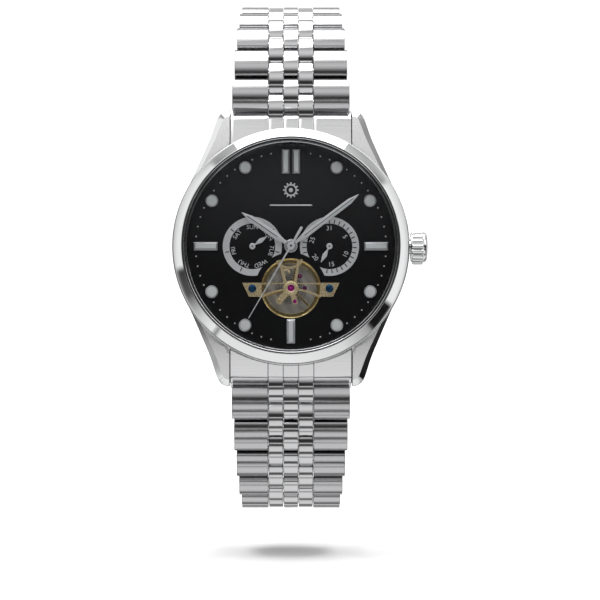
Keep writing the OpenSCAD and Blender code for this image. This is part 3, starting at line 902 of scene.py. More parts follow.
def join_meshes(meshes: Sequence[bpy.types.Mesh], name: str) -> bpy.types.Mesh:
    """One mesh of several, which keeps their materials.

    Args:
        meshes: The meshes.
        name: The name of the new one.

    Returns:
        The new mesh.
    """
    slots: list[bpy.types.Material] = []
    work = bmesh.new()
    for mesh in meshes:
        first = len(work.faces)
        work.from_mesh(mesh)
        work.faces.ensure_lookup_table()
        for face in work.faces[first:]:
            mat = mesh.materials[face.material_index]
            if mat not in slots:
                slots.append(mat)
            face.material_index = slots.index(mat)
    joined = bpy.data.meshes.new(name)
    work.to_mesh(joined)
    work.free()
    for mat in slots:
        joined.materials.append(mat)
    return joined


def shape_mesh(name: str, shape: Shape, place: Matrix = WEAR) -> bpy.types.Mesh:
    """A shape as a mesh, with no object.

    Args:
        name: The mesh's name.
        shape: What it is made of.
        place: From the watch's millimetres to the frame.

    Returns:
        The mesh, in the frame.
    """
    made = build(name, shape, None, place=place)
    mesh = made.data
    bpy.data.objects.remove(made)
    return mesh


# ---------------------------------------------------------------- case


@dataclass
class Case:
    """The mid-case, bezel, crystal and case back."""

    nodes: dict[str, bpy.types.Object]
    radius: float = 21.25
    top: float = 8.0
    bezel_radius: float = 21.05
    seat_radius: float = 19.2
    lip_radius: float = 19.05
    glass_radius: float = 18.85
    glass_top: float = 10.4
    bore: float = 18.25
    crown_height: float = 4.9
    lug_top_radius: float = 72.0
    lug_top_centre: float = -63.0

    def lug_top(self, y: float) -> float:
        """Height of the curved top of the lugs and end links."""
        return min(self.top, self.lug_top_centre + math.sqrt(self.lug_top_radius ** 2 - y * y))

    def lug(self, shape: Shape, side: int, end: int) -> None:
        """Adds one lug, with a satin top and a polished bevel along its outer edge.

        Args:
            shape: What it is added to.
            side: 1 towards the crown, -1 away from it.
            end: 1 at 12 o'clock, -1 at 6 o'clock.
        """
        outer = smooth_line([(20.3, 5.6), (19.75, 7.8), (17.9, 11.6), (15.9, 16.2), (14.4, 19.8),
                             (13.35, 23.0), (12.75, 24.1), (11.95, 24.65), (11.0, 24.8)], 5)
        inner = [(11.0, 24.8 - 0.8 * k) for k in range(1, 9)] + [(15.2, 11.5)]
        outline = outer + inner
        count, bevelled = len(outline), len(outer)
        bevel_root, bevel_growth, inner_bevel, underside = 0.5, 0.55, 0.07, 0.6
        rings: list[list[tuple[float, float, float]]] = [[], [], []]
        for i, (x, y) in enumerate(outline):
            before, after = outline[i - 1], outline[(i + 1) % count]
            tx, ty = after[0] - before[0], after[1] - before[1]
            size = math.hypot(tx, ty) or 1
            grow = max(0.0, min(1.0, (y - 9) / 14))
            width = bevel_root + bevel_growth * grow if 0 < i < bevelled - 1 else inner_bevel
            drop = width * 0.8
            ix, iy = x - ty / size * width, y + tx / size * width
            rings[0].append((x, y, underside))
            rings[1].append((x, y, self.lug_top(y) - drop))
            rings[2].append((ix, iy, self.lug_top(iy)))
        points = [(side * x, end * y, z) for ring in rings for x, y, z in ring]
        sides = [[i, (i + 1) % count, (i + 1) % count + count, i + count] for i in range(count)]
        slopes = [[i + count, (i + 1) % count + count, (i + 1) % count + 2 * count, i + 2 * count]
                  for i in range(count)]
        shape.add(points, sides + slopes + [list(range(count))], Finish.POLISHED)
        top = [p[:2] for p in points[2 * count:]]
        flat = bmesh.new()
        verts = [flat.verts.new((x, y, 0)) for x, y in top]
        for i, vert in enumerate(verts):
            flat.edges.new((vert, verts[(i + 1) % count]))
        bmesh.ops.triangle_fill(flat, edges=flat.edges[:], use_beauty=True)
        bmesh.ops.subdivide_edges(flat, edges=[e for e in flat.edges if not e.is_boundary], cuts=3,
                                  use_grid_fill=True)
        flat.verts.index_update()
        raised = [(v.co.x, v.co.y, self.lug_top(abs(v.co.y))) for v in flat.verts]
        caps = [[v.index for v in f.verts] for f in flat.faces]
        flat.free()
        shape.add(raised, caps, Finish.SATIN_LUG)

    def mid_case(self) -> None:
        """The case ring with its four lugs and the crown tube."""
        shape = Shape()
        r, top, bore = self.radius, self.top, self.bore
        shape.lathe([(19, 1.2), (20.5, 1.2), (r - 0.15, 2.0), (r, 2.3), (r, 7.8), (r - 0.06, 7.94),
                     (r - 0.16, top), (self.seat_radius, top), (self.seat_radius, 6.8), (bore, 6.8),
                     (bore, 2.2), (19, 2.2)], Finish.POLISHED, 256)
        for side in (-1, 1):
            for end in (-1, 1):
                self.lug(shape, side, end)
        lift = Matrix.Translation((0, 0, self.crown_height)) @ Matrix.Rotation(math.pi / 2, 4, "Y")
        shape.lathe([(0.62, 19.3), (1.25, 19.3), (1.25, 22.45), (1.1, 22.6), (0.62, 22.6)], Finish.POLISHED,
                    48, lift)
        made = build("mid_case_shell", shape, "case", 0.05)
        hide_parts("mid_case")

    def bezel(self) -> None:
        """The polished bezel, with its sloping top."""
        r = self.bezel_radius
        crest = arc(19.42, 10.3, 0.2, 48, 90, 4)
        lip = arc(self.lip_radius + 0.14, 10.36, 0.14, 90, 180, 4)
        side = [(self.seat_radius, 8), (r, 8), (r, 8.62), (r - 0.05, 8.74), (r - 0.13, 8.84), (20.35, 9.56)]
        profile = side + crest + lip + [(self.lip_radius, 9), (self.seat_radius, 9)]
        made = build("bezel_ring", Shape().lathe(profile, Finish.POLISHED, 256), "case", 0.04)
        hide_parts("bezel")

    def crystal(self) -> None:
        """The flat crystal with its ground edge, and the glass of the case back."""
        r, t = self.glass_radius - 0.01, self.glass_top
        made = build("crystal_glass", Shape().lathe([(0, 9), (r, 9), (r, t - 0.25), (r - 0.3, t), (0, t)],
                                                    Finish.GLASS, 192), "case")
        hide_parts("crystal")
        back = build("back_glass", Shape().lathe([(0, 0.2), (13.99, 0.2), (13.99, 1.2), (0, 1.2)],
                                                 Finish.GLASS, 192), "case")
        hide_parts("case_back_glass")

    def rehaut(self) -> None:
        """The polished slope between the dial and the crystal."""
        made = build("rehaut_slope", Shape().lathe([(18.1, 7.2), (19.15, 7.2), (19.15, 9), (18.6, 9)],
                                                   Finish.POLISHED, 256), "case", 0.03)
        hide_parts("rehaut_ring")

    def make(self) -> None:
        """Builds the case's pieces and dresses the CAD ones."""
        self.mid_case()
        self.bezel()
        self.crystal()
        self.rehaut()
        rounded_copy(self.nodes["case_back"], "case_back_ring", "case", Finish.SATIN, 0.06)


# ---------------------------------------------------------------- dial


@dataclass
class Dial:
    """The dial's applied markers and its print."""

    nodes: dict[str, bpy.types.Object]
    level: float = 7.2
    marker_radius: float = 16.35
    bar: tuple[float, float] = (13.1, 17.4)
    bar_height: float = 0.5
    bar_chamfer: float = 0.22
    bar_inset: float = 0.3
    strip: Point = (0.38, 0.28)
    dot_radius: float = 17.05
    aperture: float = 6.5
    print_height: float = 0.015

    def bars(self, shape: Shape) -> None:
        """Adds the applied bars at 12, 3, 6 and 9, with a strip of lume in each top."""
        length = self.bar[1] - self.bar[0]
        middle = (self.bar[0] + self.bar[1]) / 2
        for angle, x, width in ((0, -0.95, 1.4), (0, 0.95, 1.4), (90, 0, 1.5), (180, 0, 1.5), (270, 0, 1.5)):
            place = turn(angle) @ Matrix.Translation((x, middle, 0))
            half, run = width / 2, length / 2
            inset = self.bar_inset
            z0, z1 = self.level, self.level + self.bar_height
            low = [(-half, -run), (half, -run), (half, run), (-half, run)]
            points = [(px, py, z0) for px, py in low] + [(px, py, z1 - self.bar_chamfer) for px, py in low]
            points += [(math.copysign(half - inset, px), math.copysign(run - inset, py), z1)
                       for px, py in low]
            faces = [[0, 3, 2, 1], [8, 9, 10, 11]]
            faces += [[b + i, b + (i + 1) % 4, b + 4 + (i + 1) % 4, b + 4 + i]
                      for b in (0, 4) for i in range(4)]
            shape.add(points, faces, Finish.RIM, place)
            strip, end = self.strip
            shape.prism([[(-strip, end - run), (strip, end - run), (strip, run - end), (-strip, run - end)]],
                        z1 - 0.1, z1 + 0.02, Finish.LUME, place)

    def emblem(self, shape: Shape) -> None:
        """Adds the plain gear wheel under 12 o'clock and the line below it."""
        z = self.level
        place = Matrix.Translation((0, 10.1, 0))
        gear = [(r * math.cos(a), r * math.sin(a)) for i in range(12) for a, r in (
            (math.radians(30 * i - 9), 1.08), (math.radians(30 * i - 4), 1.42),
            (math.radians(30 * i + 4), 1.42), (math.radians(30 * i + 9), 1.08))]
        shape.prism([gear, arc(0, 0, 0.82, 360, 0, 40)[:-1]], z, z + 0.2, Finish.HAND, place)
        shape.lathe([(0, z), (0.38, z), (0.38, z + 0.16), (0.3, z + 0.2), (0, z + 0.2)], Finish.HAND, 32, place)
        line = [(-3.9, 7.4), (-3.6, 7.27), (3.6, 7.27), (3.9, 7.4), (3.6, 7.53), (-3.6, 7.53)]
        shape.prism([line], z, z + 0.1, Finish.HAND)

    def markers(self) -> None:
        """Builds the bars, the emblem and the round markers as one piece."""
        shape = Shape()
        self.bars(shape)
        self.emblem(shape)
        metal = shape_mesh("bars", shape)
        cup = Shape().lathe([(0, 0), (1.15, 0), (1.15, 0.33), (1.05, 0.45), (0.95, 0.45), (0.92, 0.36),
                             (0, 0.36)], Finish.RIM, 40)
        dot = Shape().lathe([(0, 0.361), (0.92, 0.361), (0.88, 0.4), (0.6, 0.43), (0, 0.44)], Finish.LUME, 40)
        spots = []
        for hour in (1, 2, 4, 5, 7, 8, 10, 11):
            a = math.radians(90 - 30 * hour)
            spot = (self.marker_radius * math.cos(a), self.marker_radius * math.sin(a), self.level)
            spots += [(spot, (0, 0, 0), 0), (spot, (0, 0, 0), 1)]
        rounds = Repeater("round_markers", 2).mesh([(cup, Finish.RIM), (dot, Finish.LUME)], spots)
        made = finish_piece("markers", join_meshes([metal, rounds], "markers"), "case", 0.03)
        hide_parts("applied_markers")

    def dots_and_ticks(self) -> None:
        """The printed minute dots and the division lines of the two silvered rings."""
        high = self.print_height
        dot = Shape().lathe([(0, 0), (0.13, 0), (0.13, high), (0, high)], Finish.PRINT, 12)
        tick = Shape().prism([[(-0.09, -0.36), (0.09, -0.36), (0.09, 0.36), (-0.09, 0.36)]], 0, high,
                             Finish.DARK_PRINT)
        spots = []
        for minute in range(60):
            if minute % 5 == 0 or minute in (1, 59, 29, 31):
                continue
            a = math.radians(90 - 6 * minute)
            place = (self.dot_radius * math.cos(a), self.dot_radius * math.sin(a), self.level)
            spots.append((place, (0, 0, 0), 0))
        for side, count, radius in ((-1, 7, 4.6), (1, 31, 4.5)):
            for n in range(count):
                angle = 90 - 360 / count * n
                a = math.radians(angle)
                x, y = side * SUBDIAL + radius * math.cos(a), radius * math.sin(a)
                if math.hypot(x - BALANCE[0], y - BALANCE[1]) > self.aperture:
                    spots.append(((x, y, self.level + 0.1), (0, 0, angle - 90), 1))
        mesh = Repeater("dial_print", 2).mesh([(dot, Finish.PRINT), (tick, Finish.DARK_PRINT)], spots)
        finish_piece("dial_divisions", mesh, "case")

    def numerals(self) -> None:
        """The days on the left sub-dial and the dates on the right, their tops to the rim."""
        meshes = []
        days = ("SUN", "MON", "TUE", "WED", "THU", "FRI", "SAT")
        for n, word in enumerate(days):
            angle = 360 / 7 * n
            meshes.append(self.word(word, -SUBDIAL, 3.42, angle, 1.08, False))
        for date in (31, 5, 10, 15, 20, 25):
            angle = 360 / 31 * (date % 31)
            flip = 100 < angle < 260
            meshes.append(self.word(str(date), SUBDIAL, 3.25, angle, 1.18, flip))
        finish_piece("dial_numerals", join_meshes(meshes, "dial_numerals"), "case")

    def word(self, text: str, x: float, radius: float, angle: float, size: float,
             flip: bool) -> bpy.types.Mesh:
        """One printed word on a sub-dial, in the frame.

        Args:
            text: What it says.
            x: Centre of its sub-dial.
            radius: Distance of its middle from there.
            angle: Its direction, clockwise from 12.
            size: Height of the type.
            flip: Whether its top points to the sub-dial's centre.

        Returns:
            A mesh in the frame.
        """
        curve = bpy.data.curves.new(text, "FONT")
        curve.body = text
        curve.size = size
        curve.align_x, curve.align_y = "CENTER", "CENTER"
        curve.extrude = self.print_height / 2
        curve.resolution_u = 3
        holder = bpy.data.objects.new(text, curve)
        bpy.context.scene.collection.objects.link(holder)
        bpy.context.view_layer.update()
        graph = bpy.context.evaluated_depsgraph_get()
        mesh = bpy.data.meshes.new_from_object(holder.evaluated_get(graph), depsgraph=graph)
        bpy.data.objects.remove(holder)
        place = Matrix.Translation((x, 0, self.level - 0.06 + self.print_height / 2)) @ turn(-angle)
        place = place @ Matrix.Translation((0, radius, 0)) @ turn(180 if flip else 0)
        mesh.transform(WEAR @ place)
        mesh.materials.clear()
        mesh.materials.append(material(Finish.PRINT))
        return mesh

    def make(self) -> None:
        """Builds the dial's pieces."""
        self.markers()
        self.dots_and_ticks()
        self.numerals()


# ---------------------------------------------------------------- hands


@dataclass
class Hand:
    """A hand with a ridge along its middle and an optional strip of lume.

    It points at angle, in degrees clockwise from 12. Its outline is its right half as (half width,
    distance from the axis). Its pipe is (bore radius, outer radius, lowest height).
    """

    name: str
    node: str
    body: str
    angle: float
    level: float
    outline: Outline
    hub: float
    pipe: tuple[float, float, float]
    at: Point = (0.0, 0.0)
    lume: Outline = field(default_factory=list)
    ridge: float = 0.1
    boss: Finish = Finish.HAND
    thickness: float = 0.06
    line: float = 0.05
    dot_share: float = 0.26

    def make(self) -> None:
        """Builds the hand."""
        place = Matrix.Translation((self.at[0], self.at[1], 0)) @ turn(-self.angle)
        half = self.outline
        n = len(half)
        low, edge = self.level, self.level + self.thickness
        crest = edge + self.ridge
        left = [(-x, y) for x, y in half]
        points = [(x, y, z) for z in (low, edge) for x, y in half + left]
        points += [(0, y, crest if 0 < i < n - 1 else edge + 0.01) for i, (_, y) in enumerate(half)]
        faces = []
        for i in range(n - 1):
            a, b = i, i + 1
            faces += [[a, b, b + n, a + n], [a + 2 * n, b + 2 * n, b, a],
                      [a + n, b + n, b + 3 * n, a + 3 * n],
                      [a + 2 * n, a + 4 * n, b + 4 * n, b + 2 * n],
                      [a + 4 * n, a + 3 * n, b + 3 * n, b + 4 * n]]
        shape = Shape().add(points, faces, Finish.HAND, place)
        if self.lume:
            shape.prism([self.lume], edge, crest + 0.012, Finish.LUME, place)
            start, end = self.lume[0][1], self.lume[-1][1]
            line = self.line
            shape.prism([[(-line, start), (line, start), (line, end), (-line, end)]], edge, crest + 0.016,
                        Finish.DARK_PRINT, place)
        hub_top = crest + 0.02
        shape.lathe([(self.pipe[0], low - 0.02), (self.hub, low - 0.02), (self.hub, hub_top - 0.04),
                     (self.hub - 0.06, hub_top), (self.pipe[0], hub_top)], self.boss, 64, place)
        if self.pipe[0] == 0:
            dot = self.hub * self.dot_share
            dot_low, dot_top = hub_top - 0.02, hub_top + 0.012
            shape.lathe([(0, dot_low), (dot, dot_low), (dot, dot_top), (0, dot_top)], Finish.DARK_PRINT, 24,
                        place)
        shape.lathe([(self.pipe[0], self.pipe[2]), (self.pipe[1], self.pipe[2]), (self.pipe[1], low),
                     (self.pipe[0], low)], Finish.POLISHED, 32, place)
        made = build(self.name, shape, self.body)
        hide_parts(self.node)


def make_hands() -> None:
    """Builds the five hands."""
    hour = [(0.34, 0), (0.34, 1.7), (0.62, 2.9), (0.58, 8.7), (0.3, 9.7), (0.03, 10.66)]
    Hand("hour_hand_blade", "hour_hand", "hour", 304.4, 8.0, hour, 1.18, (0.6, 0.8, 6.5),
         lume=[(0.1, 2.9), (0.34, 3.1), (0.33, 8.7), (0.1, 9.5)]).make()
    minute = [(0.3, 0), (0.3, 1.9), (0.55, 3.1), (0.5, 13.2), (0.25, 14.4), (0.03, 15.26)]
    Hand("minute_hand_blade", "minute_hand", "minute", 52.7, 8.27, minute, 1.05, (0.3, 0.5, 6.5),
         lume=[(0.09, 3.1), (0.3, 3.3), (0.28, 13.2), (0.09, 14)], boss=Finish.RIM).make()
    second = [(0.05, -3.94), (0.2, -3.85), (0.26, -3.6), (0.22, -2.0), (0.15, 0), (0.07, 15.0)]
    Hand("seconds_hand_needle", "seconds_hand", "seconds", 210.2, 8.54, second, 0.72, (0.0, 0.2, 6.5),
         ridge=0.05).make()
    leaf = [(0.12, 0), (0.13, 0.8), (0.3, 1.25), (0.42, 1.75), (0.3, 2.3), (0.03, 3.15)]
    Hand("day_hand_leaf", "day_hand", "day", 56.0, 7.4, leaf, 0.55, (0.0, 0.25, 6.5), (-SUBDIAL, 0.0),
         ridge=0.06).make()
    leaf = [(0.12, 0), (0.13, 0.8), (0.3, 1.3), (0.42, 1.8), (0.3, 2.4), (0.03, 3.27)]
    Hand("date_hand_leaf", "date_hand", "date", 207.8, 7.4, leaf, 0.55, (0.0, 0.25, 6.5), (SUBDIAL, 0.0),
         ridge=0.06).make()


# ---------------------------------------------------------------- bracelet


@dataclass
class Bracelet:
    """The link rows, worn round the wrist."""

    pitch: float = 6.0
    gap: float = 0.3
    first_tilt: float = 12.0
    bend: float = 17.5
    hinge: Point = (26.35, 3.4)
    halves: tuple[float, float, float] = (10.6, 9.0, 0.4)
    links: int = 10
    bead: float = 1.32
    small: Point = (1.41, 4.0)
    outer: float = 4.1
    top: float = 1.7
    bottom: float = 1.3

    def __post_init__(self) -> None:
        """Prepares the tree that sets a link's pieces in their places."""
        self.repeater = Repeater("link_pieces", 4)

    def tilt(self, link: int) -> float:
        """Slope of a link against the dial, in degrees."""
        return self.first_tilt + self.bend * (link - 1)

    def centre(self, link: int) -> Vector:
        """Place of the middle of a link's first row.

        Args:
            link: The link's number, from 1 at the case.

        Returns:
            The place as (0, y, z).
        """
        quarter = self.pitch / 4
        spot = Vector((0, *self.hinge))
        for i in range(1, link + 1):
            ahead = Vector((0, math.cos(math.radians(self.tilt(i))), -math.sin(math.radians(self.tilt(i)))))
            spot += ahead * quarter * (1 if i == link else 4)
        return spot

    def half_width(self, link: int) -> float:
        """Half of a row's width."""
        wide, narrow, step = self.halves
        return max(narrow, wide - step * (link - 1))

    def link(self, half: str, number: int) -> None:
        """Builds one link: its outer pieces, beads and pins.

        Args:
            half: "upper" or "lower".
            number: The link's number, from 1 at the case; the last one has two rows.
        """
        rows = 2 if number == self.links else 1
        width = self.half_width(number)
        length = self.pitch - self.gap
        wide = width - self.outer
        outer = Shape().barrel(-wide / 2, wide / 2, length, self.top, self.bottom, Finish.LINK)
        bead = Shape().barrel(-self.bead, self.bead, length, self.top, self.bottom, Finish.BEAD)
        narrow = (self.small[1] - self.small[0]) / 2
        small = Shape().barrel(-narrow, narrow, length, self.top - 0.1, self.bottom, Finish.BEAD)
        pin = Shape().rod(0.5, 0.5 - width, width - 0.5, Finish.POLISHED)
        spots: list[tuple[Sequence[float], tuple[float, float, float], int]] = []
        lane = (self.small[0] + self.small[1]) / 2
        for row in range(rows):
            y = row * self.pitch
            spots.append(((0, y, 0), (0, 0, 0), 1))
            for side in (-1, 1):
                spots.append(((side * (self.outer + wide / 2), y, 0), (0, 0, 0), 0))
                spots.append(((side * lane, y + self.pitch / 2, 0), (0, 0, 0), 2))
                spots.append(((0, y + side * self.pitch / 4, 0), (0, 0, 0), 3))
        place = Matrix.Translation(self.centre(number)) @ Matrix.Rotation(
            -math.radians(self.tilt(number)), 4, "X")
        if half == "lower":
            place = Matrix.Scale(-1, 4, (0, 1, 0)) @ place
        mesh = self.repeater.mesh([(outer, Finish.LINK), (bead, Finish.BEAD), (small, Finish.BEAD),
                                   (pin, Finish.POLISHED)], spots, WEAR @ place)
        if half == "lower":
            mesh.flip_normals()
        made = finish_piece(f"{half}_row_{number}", mesh, f"{half}_{number}", bevel=0.14, angle=34.0, segments=3)
        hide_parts(f"{half}_link_{number}")

    def make(self) -> None:
        """Builds both halves."""
        for half in ("upper", "lower"):
            for number in range(1, self.links + 1):
                self.link(half, number)


@dataclass
class EndLinks:
    """The solid end links between the lugs, with the bead tongues of the first hinge."""

    case: Case
    bracelet: Bracelet
    half: float = 10.85
    reach: float = 24.25
    lip: float = 0.8
    case_gap: float = 0.13
    grooves: Point = (1.37, 4.1)
    groove_half: float = 0.07
    groove_depth: float = 0.22
    tongue_tilt: float = 5.0
    # Where the dark sheets of painted shade in the gaps to the lugs start, and the length of each sheet.
    seam_start: float = 18.2
    seam_step: float = 0.5

    def make(self) -> None:
        """Builds both end links as one piece."""
        shape = Shape()
        xs = sorted({-self.half, self.half, *(s * g + d for s in (-1, 1) for g in self.grooves
                                              for d in (-self.groove_half, 0, self.groove_half))})
        for end in (-1, 1):
            self.block(shape, xs, end)
        # The dark sheets in the gaps to the lugs are painted shade.
        for end in (-1, 1):
            for side in (-1, 1):
                self.seam(shape, side, end)
        meshes = [shape_mesh("end_blocks", shape)]
        for end in (-1, 1):
            tongue = Shape()
            place = Matrix.Translation((0, self.bracelet.hinge[0], self.bracelet.hinge[1]))
            place = place @ Matrix.Rotation(-math.radians(self.tongue_tilt), 4, "X") @ Matrix.Translation(
                (0, -self.bracelet.pitch / 4, 0))
            place = Matrix.Scale(end, 4, (0, 1, 0)) @ place
            low, high = self.bracelet.small
            for x0, x1 in ((low, high), (-high, -low)):
                tongue.barrel(x0, x1, self.bracelet.pitch - self.bracelet.gap, self.bracelet.top - 0.1,
                              self.bracelet.bottom, Finish.BEAD, place)
            meshes.append(shape_mesh("tongues", tongue))
        made = finish_piece("end_pieces", join_meshes(meshes, "end_pieces"), "case", 0.08, 30.0)
        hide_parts("end_links")

    def seam(self, shape: Shape, side: int, end: int) -> None:
        """Adds a dark sheet in the gap between an end link and a lug: painted shade that stands for the shade
        deep in the gap, in the rubber finish.

        Args:
            shape: What it is added to.
            side: 1 towards the crown, -1 away from it.
            end: 1 at 12 o'clock, -1 at 6 o'clock.
        """
        near, far, low = self.half + 0.02, self.half + self.case_gap, 1.0
        for k in range(12):
            y0 = self.seam_start + self.seam_step * k
            y1 = self.seam_start + self.seam_step * (k + 1)
            flat = [(side * near, end * y0), (side * far, end * y0), (side * far, end * y1),
                    (side * near, end * y1)]
            # Painted shade: the sheet's top stays under the lug's top, so the gap looks dark.
            shape.prism([flat if side * end > 0 else flat[::-1]], low, self.case.lug_top(y1) - 0.75,
                        Finish.RUBBER)

    def block(self, shape: Shape, xs: Sequence[float], end: int) -> None:
        """Adds one end link: a curved block that meets the bezel along an arc.

        Args:
            shape: What it is added to.
            xs: Its sides and the lines of its grooves along x, in order.
            end: 1 at 12 o'clock, -1 at 6 o'clock.
        """
        rows = 14
        edge = self.case.bezel_radius + 0.1

        def start(x: float) -> float:
            """Where the block begins at x, on the bezel's edge."""
            return math.sqrt(edge * edge - x * x)

        fine: list[float] = []
        for a, b in zip(xs, xs[1:]):
            steps = max(1, int((b - a) / 0.6))
            fine += [a + (b - a) * k / steps for k in range(steps)]
        fine.append(xs[-1])
        groove = {round(s * g, 4) for s in (-1, 1) for g in self.grooves}
        roll, run = 0.55, 1.1
        points, faces = [], []
        for x in fine:
            for j in range(rows + 1):
                y = start(x) + (self.reach - start(x)) * j / rows
                round_off = roll * max(0.0, (y - self.reach + run) / run) ** 2
                dip = self.groove_depth if round(x, 4) in groove else 0.0
                points.append((x, end * y, self.case.lug_top(y) - 0.25 - dip - round_off))
            tip = self.reach + self.lip
            points += [(x, end * self.reach, 2.6), (x, end * tip, 2.42), (x, end * tip, 1.2),
                       (x, end * (tip - 0.3), 0.9)]
            points.append((x, end * (self.case.radius + 0.05), 0.9))
            points.append((x, end * max(start(x), self.case.radius * 0.92), 5.0))
        n = rows + 7
        for i in range(len(fine) - 1):
            for j in range(n):
                k = (j + 1) % n
                faces.append([i * n + j, i * n + k, (i + 1) * n + k, (i + 1) * n + j])
        faces += [list(range(n)), [(len(fine) - 1) * n + j for j in range(n)][::-1]]
        shape.add(points, faces, Finish.SATIN)


# ---------------------------------------------------------------- crown


@dataclass
class Crown:
    """The fluted crown."""

    root: float = 2.86
    ridge: float = 0.27
    height: float = 4.9
    flutes: int = 20

    def make(self) -> None:
        """Builds the core by turning, and the ridges round it as repeated pieces."""
        place = Matrix.Translation((0, 0, self.height)) @ Matrix.Rotation(math.pi / 2, 4, "Y")
        core = Shape().lathe([(1.75, 21.45), (2.45, 21.45), (2.65, 21.6), (2.7, 21.75), (self.root, 21.8),
                              (2.9, 23.6), (2.72, 23.75), (2.7, 23.95), (2.55, 24.22), (2.1, 24.42),
                              (1.2, 24.52), (0, 24.55), (0, 23.4), (1.75, 23.4)], Finish.POLISHED, 96, place)
        tooth = arc(self.root, 0, self.ridge, -78, 78, 8)
        ridge = Shape()
        sections = [(21.72, 0.55), (21.84, 0.9), (22.0, 1.0), (23.3, 1.0), (23.5, 0.9), (23.66, 0.5)]
        points, faces = [], []
        for z, swell in sections:
            swollen = [(self.root + (x - self.root) * swell, y) for x, y in tooth]
            ring = [(2.6, -0.2)] + swollen + [(2.6, 0.2)]
            points += [(x, y, z) for x, y in ring]
        n = len(tooth) + 2
        for s in range(len(sections) - 1):
            faces += [[s * n + j, s * n + (j + 1) % n, (s + 1) * n + (j + 1) % n, (s + 1) * n + j]
                      for j in range(n)]
        faces += [list(range(n)), [(len(sections) - 1) * n + j for j in range(n)]]
        ridge.add(points, faces, Finish.POLISHED)
        spots = [((0, 0, 0), (0, 0, 360 / self.flutes * k), 0) for k in range(self.flutes)]
        ridges = Repeater("crown_ridges").mesh([(ridge, Finish.POLISHED)], spots, WEAR @ place)
        mesh = join_meshes([shape_mesh("core", core), ridges], "crown_fluted")
        made = finish_piece("crown_fluted", mesh, "crown")
        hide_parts("crown")


# ---------------------------------------------------------------- clasp


@dataclass
class Clasp:
    """The folding clasp: a curved cover over two blades."""

    nodes: dict[str, bpy.types.Object]
    bracelet: Bracelet

    def __post_init__(self) -> None:
        """Works out the arc that the clasp follows, from the last row's slope."""
        last = self.bracelet.links
        tilt = math.radians(self.bracelet.tilt(last))
        ahead = Vector((0, math.cos(tilt), -math.sin(tilt)))
        hinge = self.bracelet.centre(last) + ahead * (1.75 * self.bracelet.pitch)
        self.radius = hinge.y / math.sin(math.pi - tilt)
        self.centre = hinge.z + math.sqrt(self.radius ** 2 - hinge.y ** 2)

    def level(self, offset: float) -> Callable[[float], float]:
        """The height at y of the surface that is offset from the clasp's arc."""
        return lambda y: self.centre - math.sqrt((self.radius + offset) ** 2 - y * y)

    def cover(self) -> None:
        """The cover: a curved plate with side walls and a cross bar at its mouth."""
        steps = [-19, -18.1] + [-18.1 + 36.2 * k / 48 for k in range(1, 48)] + [18.1, 19]
        shape = Shape()
        shape.plate(([-9, -4.1, 4.1, 9], steps), self.level(1.7), self.level(0.9), Finish.SATIN,
                    lambda x, y: abs(x) > 4.1 or abs(y) < 18.1)
        window = [y for y in steps if not 1.3 < y < 6.7]
        lower = [y for y in window if y <= 1.4] + [1.4]
        upper = [6.6] + [y for y in window if y >= 6.6]
        for x0, x1 in ((-9, -8.1), (8.1, 9)):
            for run in (lower, upper):
                shape.plate(([x0, x1], run), self.level(0.92), self.level(-0.7), Finish.POLISHED)
            shape.plate(([x0, x1], [1.4, 4, 6.6]), self.level(0.92), self.level(0.72), Finish.POLISHED)
        shape.plate(([-8.2, 8.2], [-18.1, -17.4, -16.8]), self.level(0.95), self.level(-0.8), Finish.POLISHED)
        hinge_y, hinge_z = 12.0, self.level(0.2)(12.0)
        place = Matrix.Translation((0, hinge_y, hinge_z))
        for x0, x1 in ((2.4, 4.4), (-4.4, -2.4)):
            shape.rod(0.65, x0, x1, Finish.POLISHED, place)
            shape.plate(([x0, x1], [11.4, 12.6]), self.level(0.95), self.level(0.2), Finish.POLISHED)
        shape.rod(0.28, -4.2, 4.2, Finish.POLISHED, place, 16)
        made = build("clasp_cover_shell", shape, "cover", 0.12)
        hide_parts("clasp_cover")

    def make(self) -> None:
        """Builds the clasp's cover and rounds the edges of its buttons."""
        self.cover()
        for side in ("left", "right"):
            rounded_copy(self.nodes[f"clasp_button_{side}"], f"button_{side}_cap", f"button_{side}",
                         Finish.POLISHED, 0.12)


# ---------------------------------------------------------------- movement


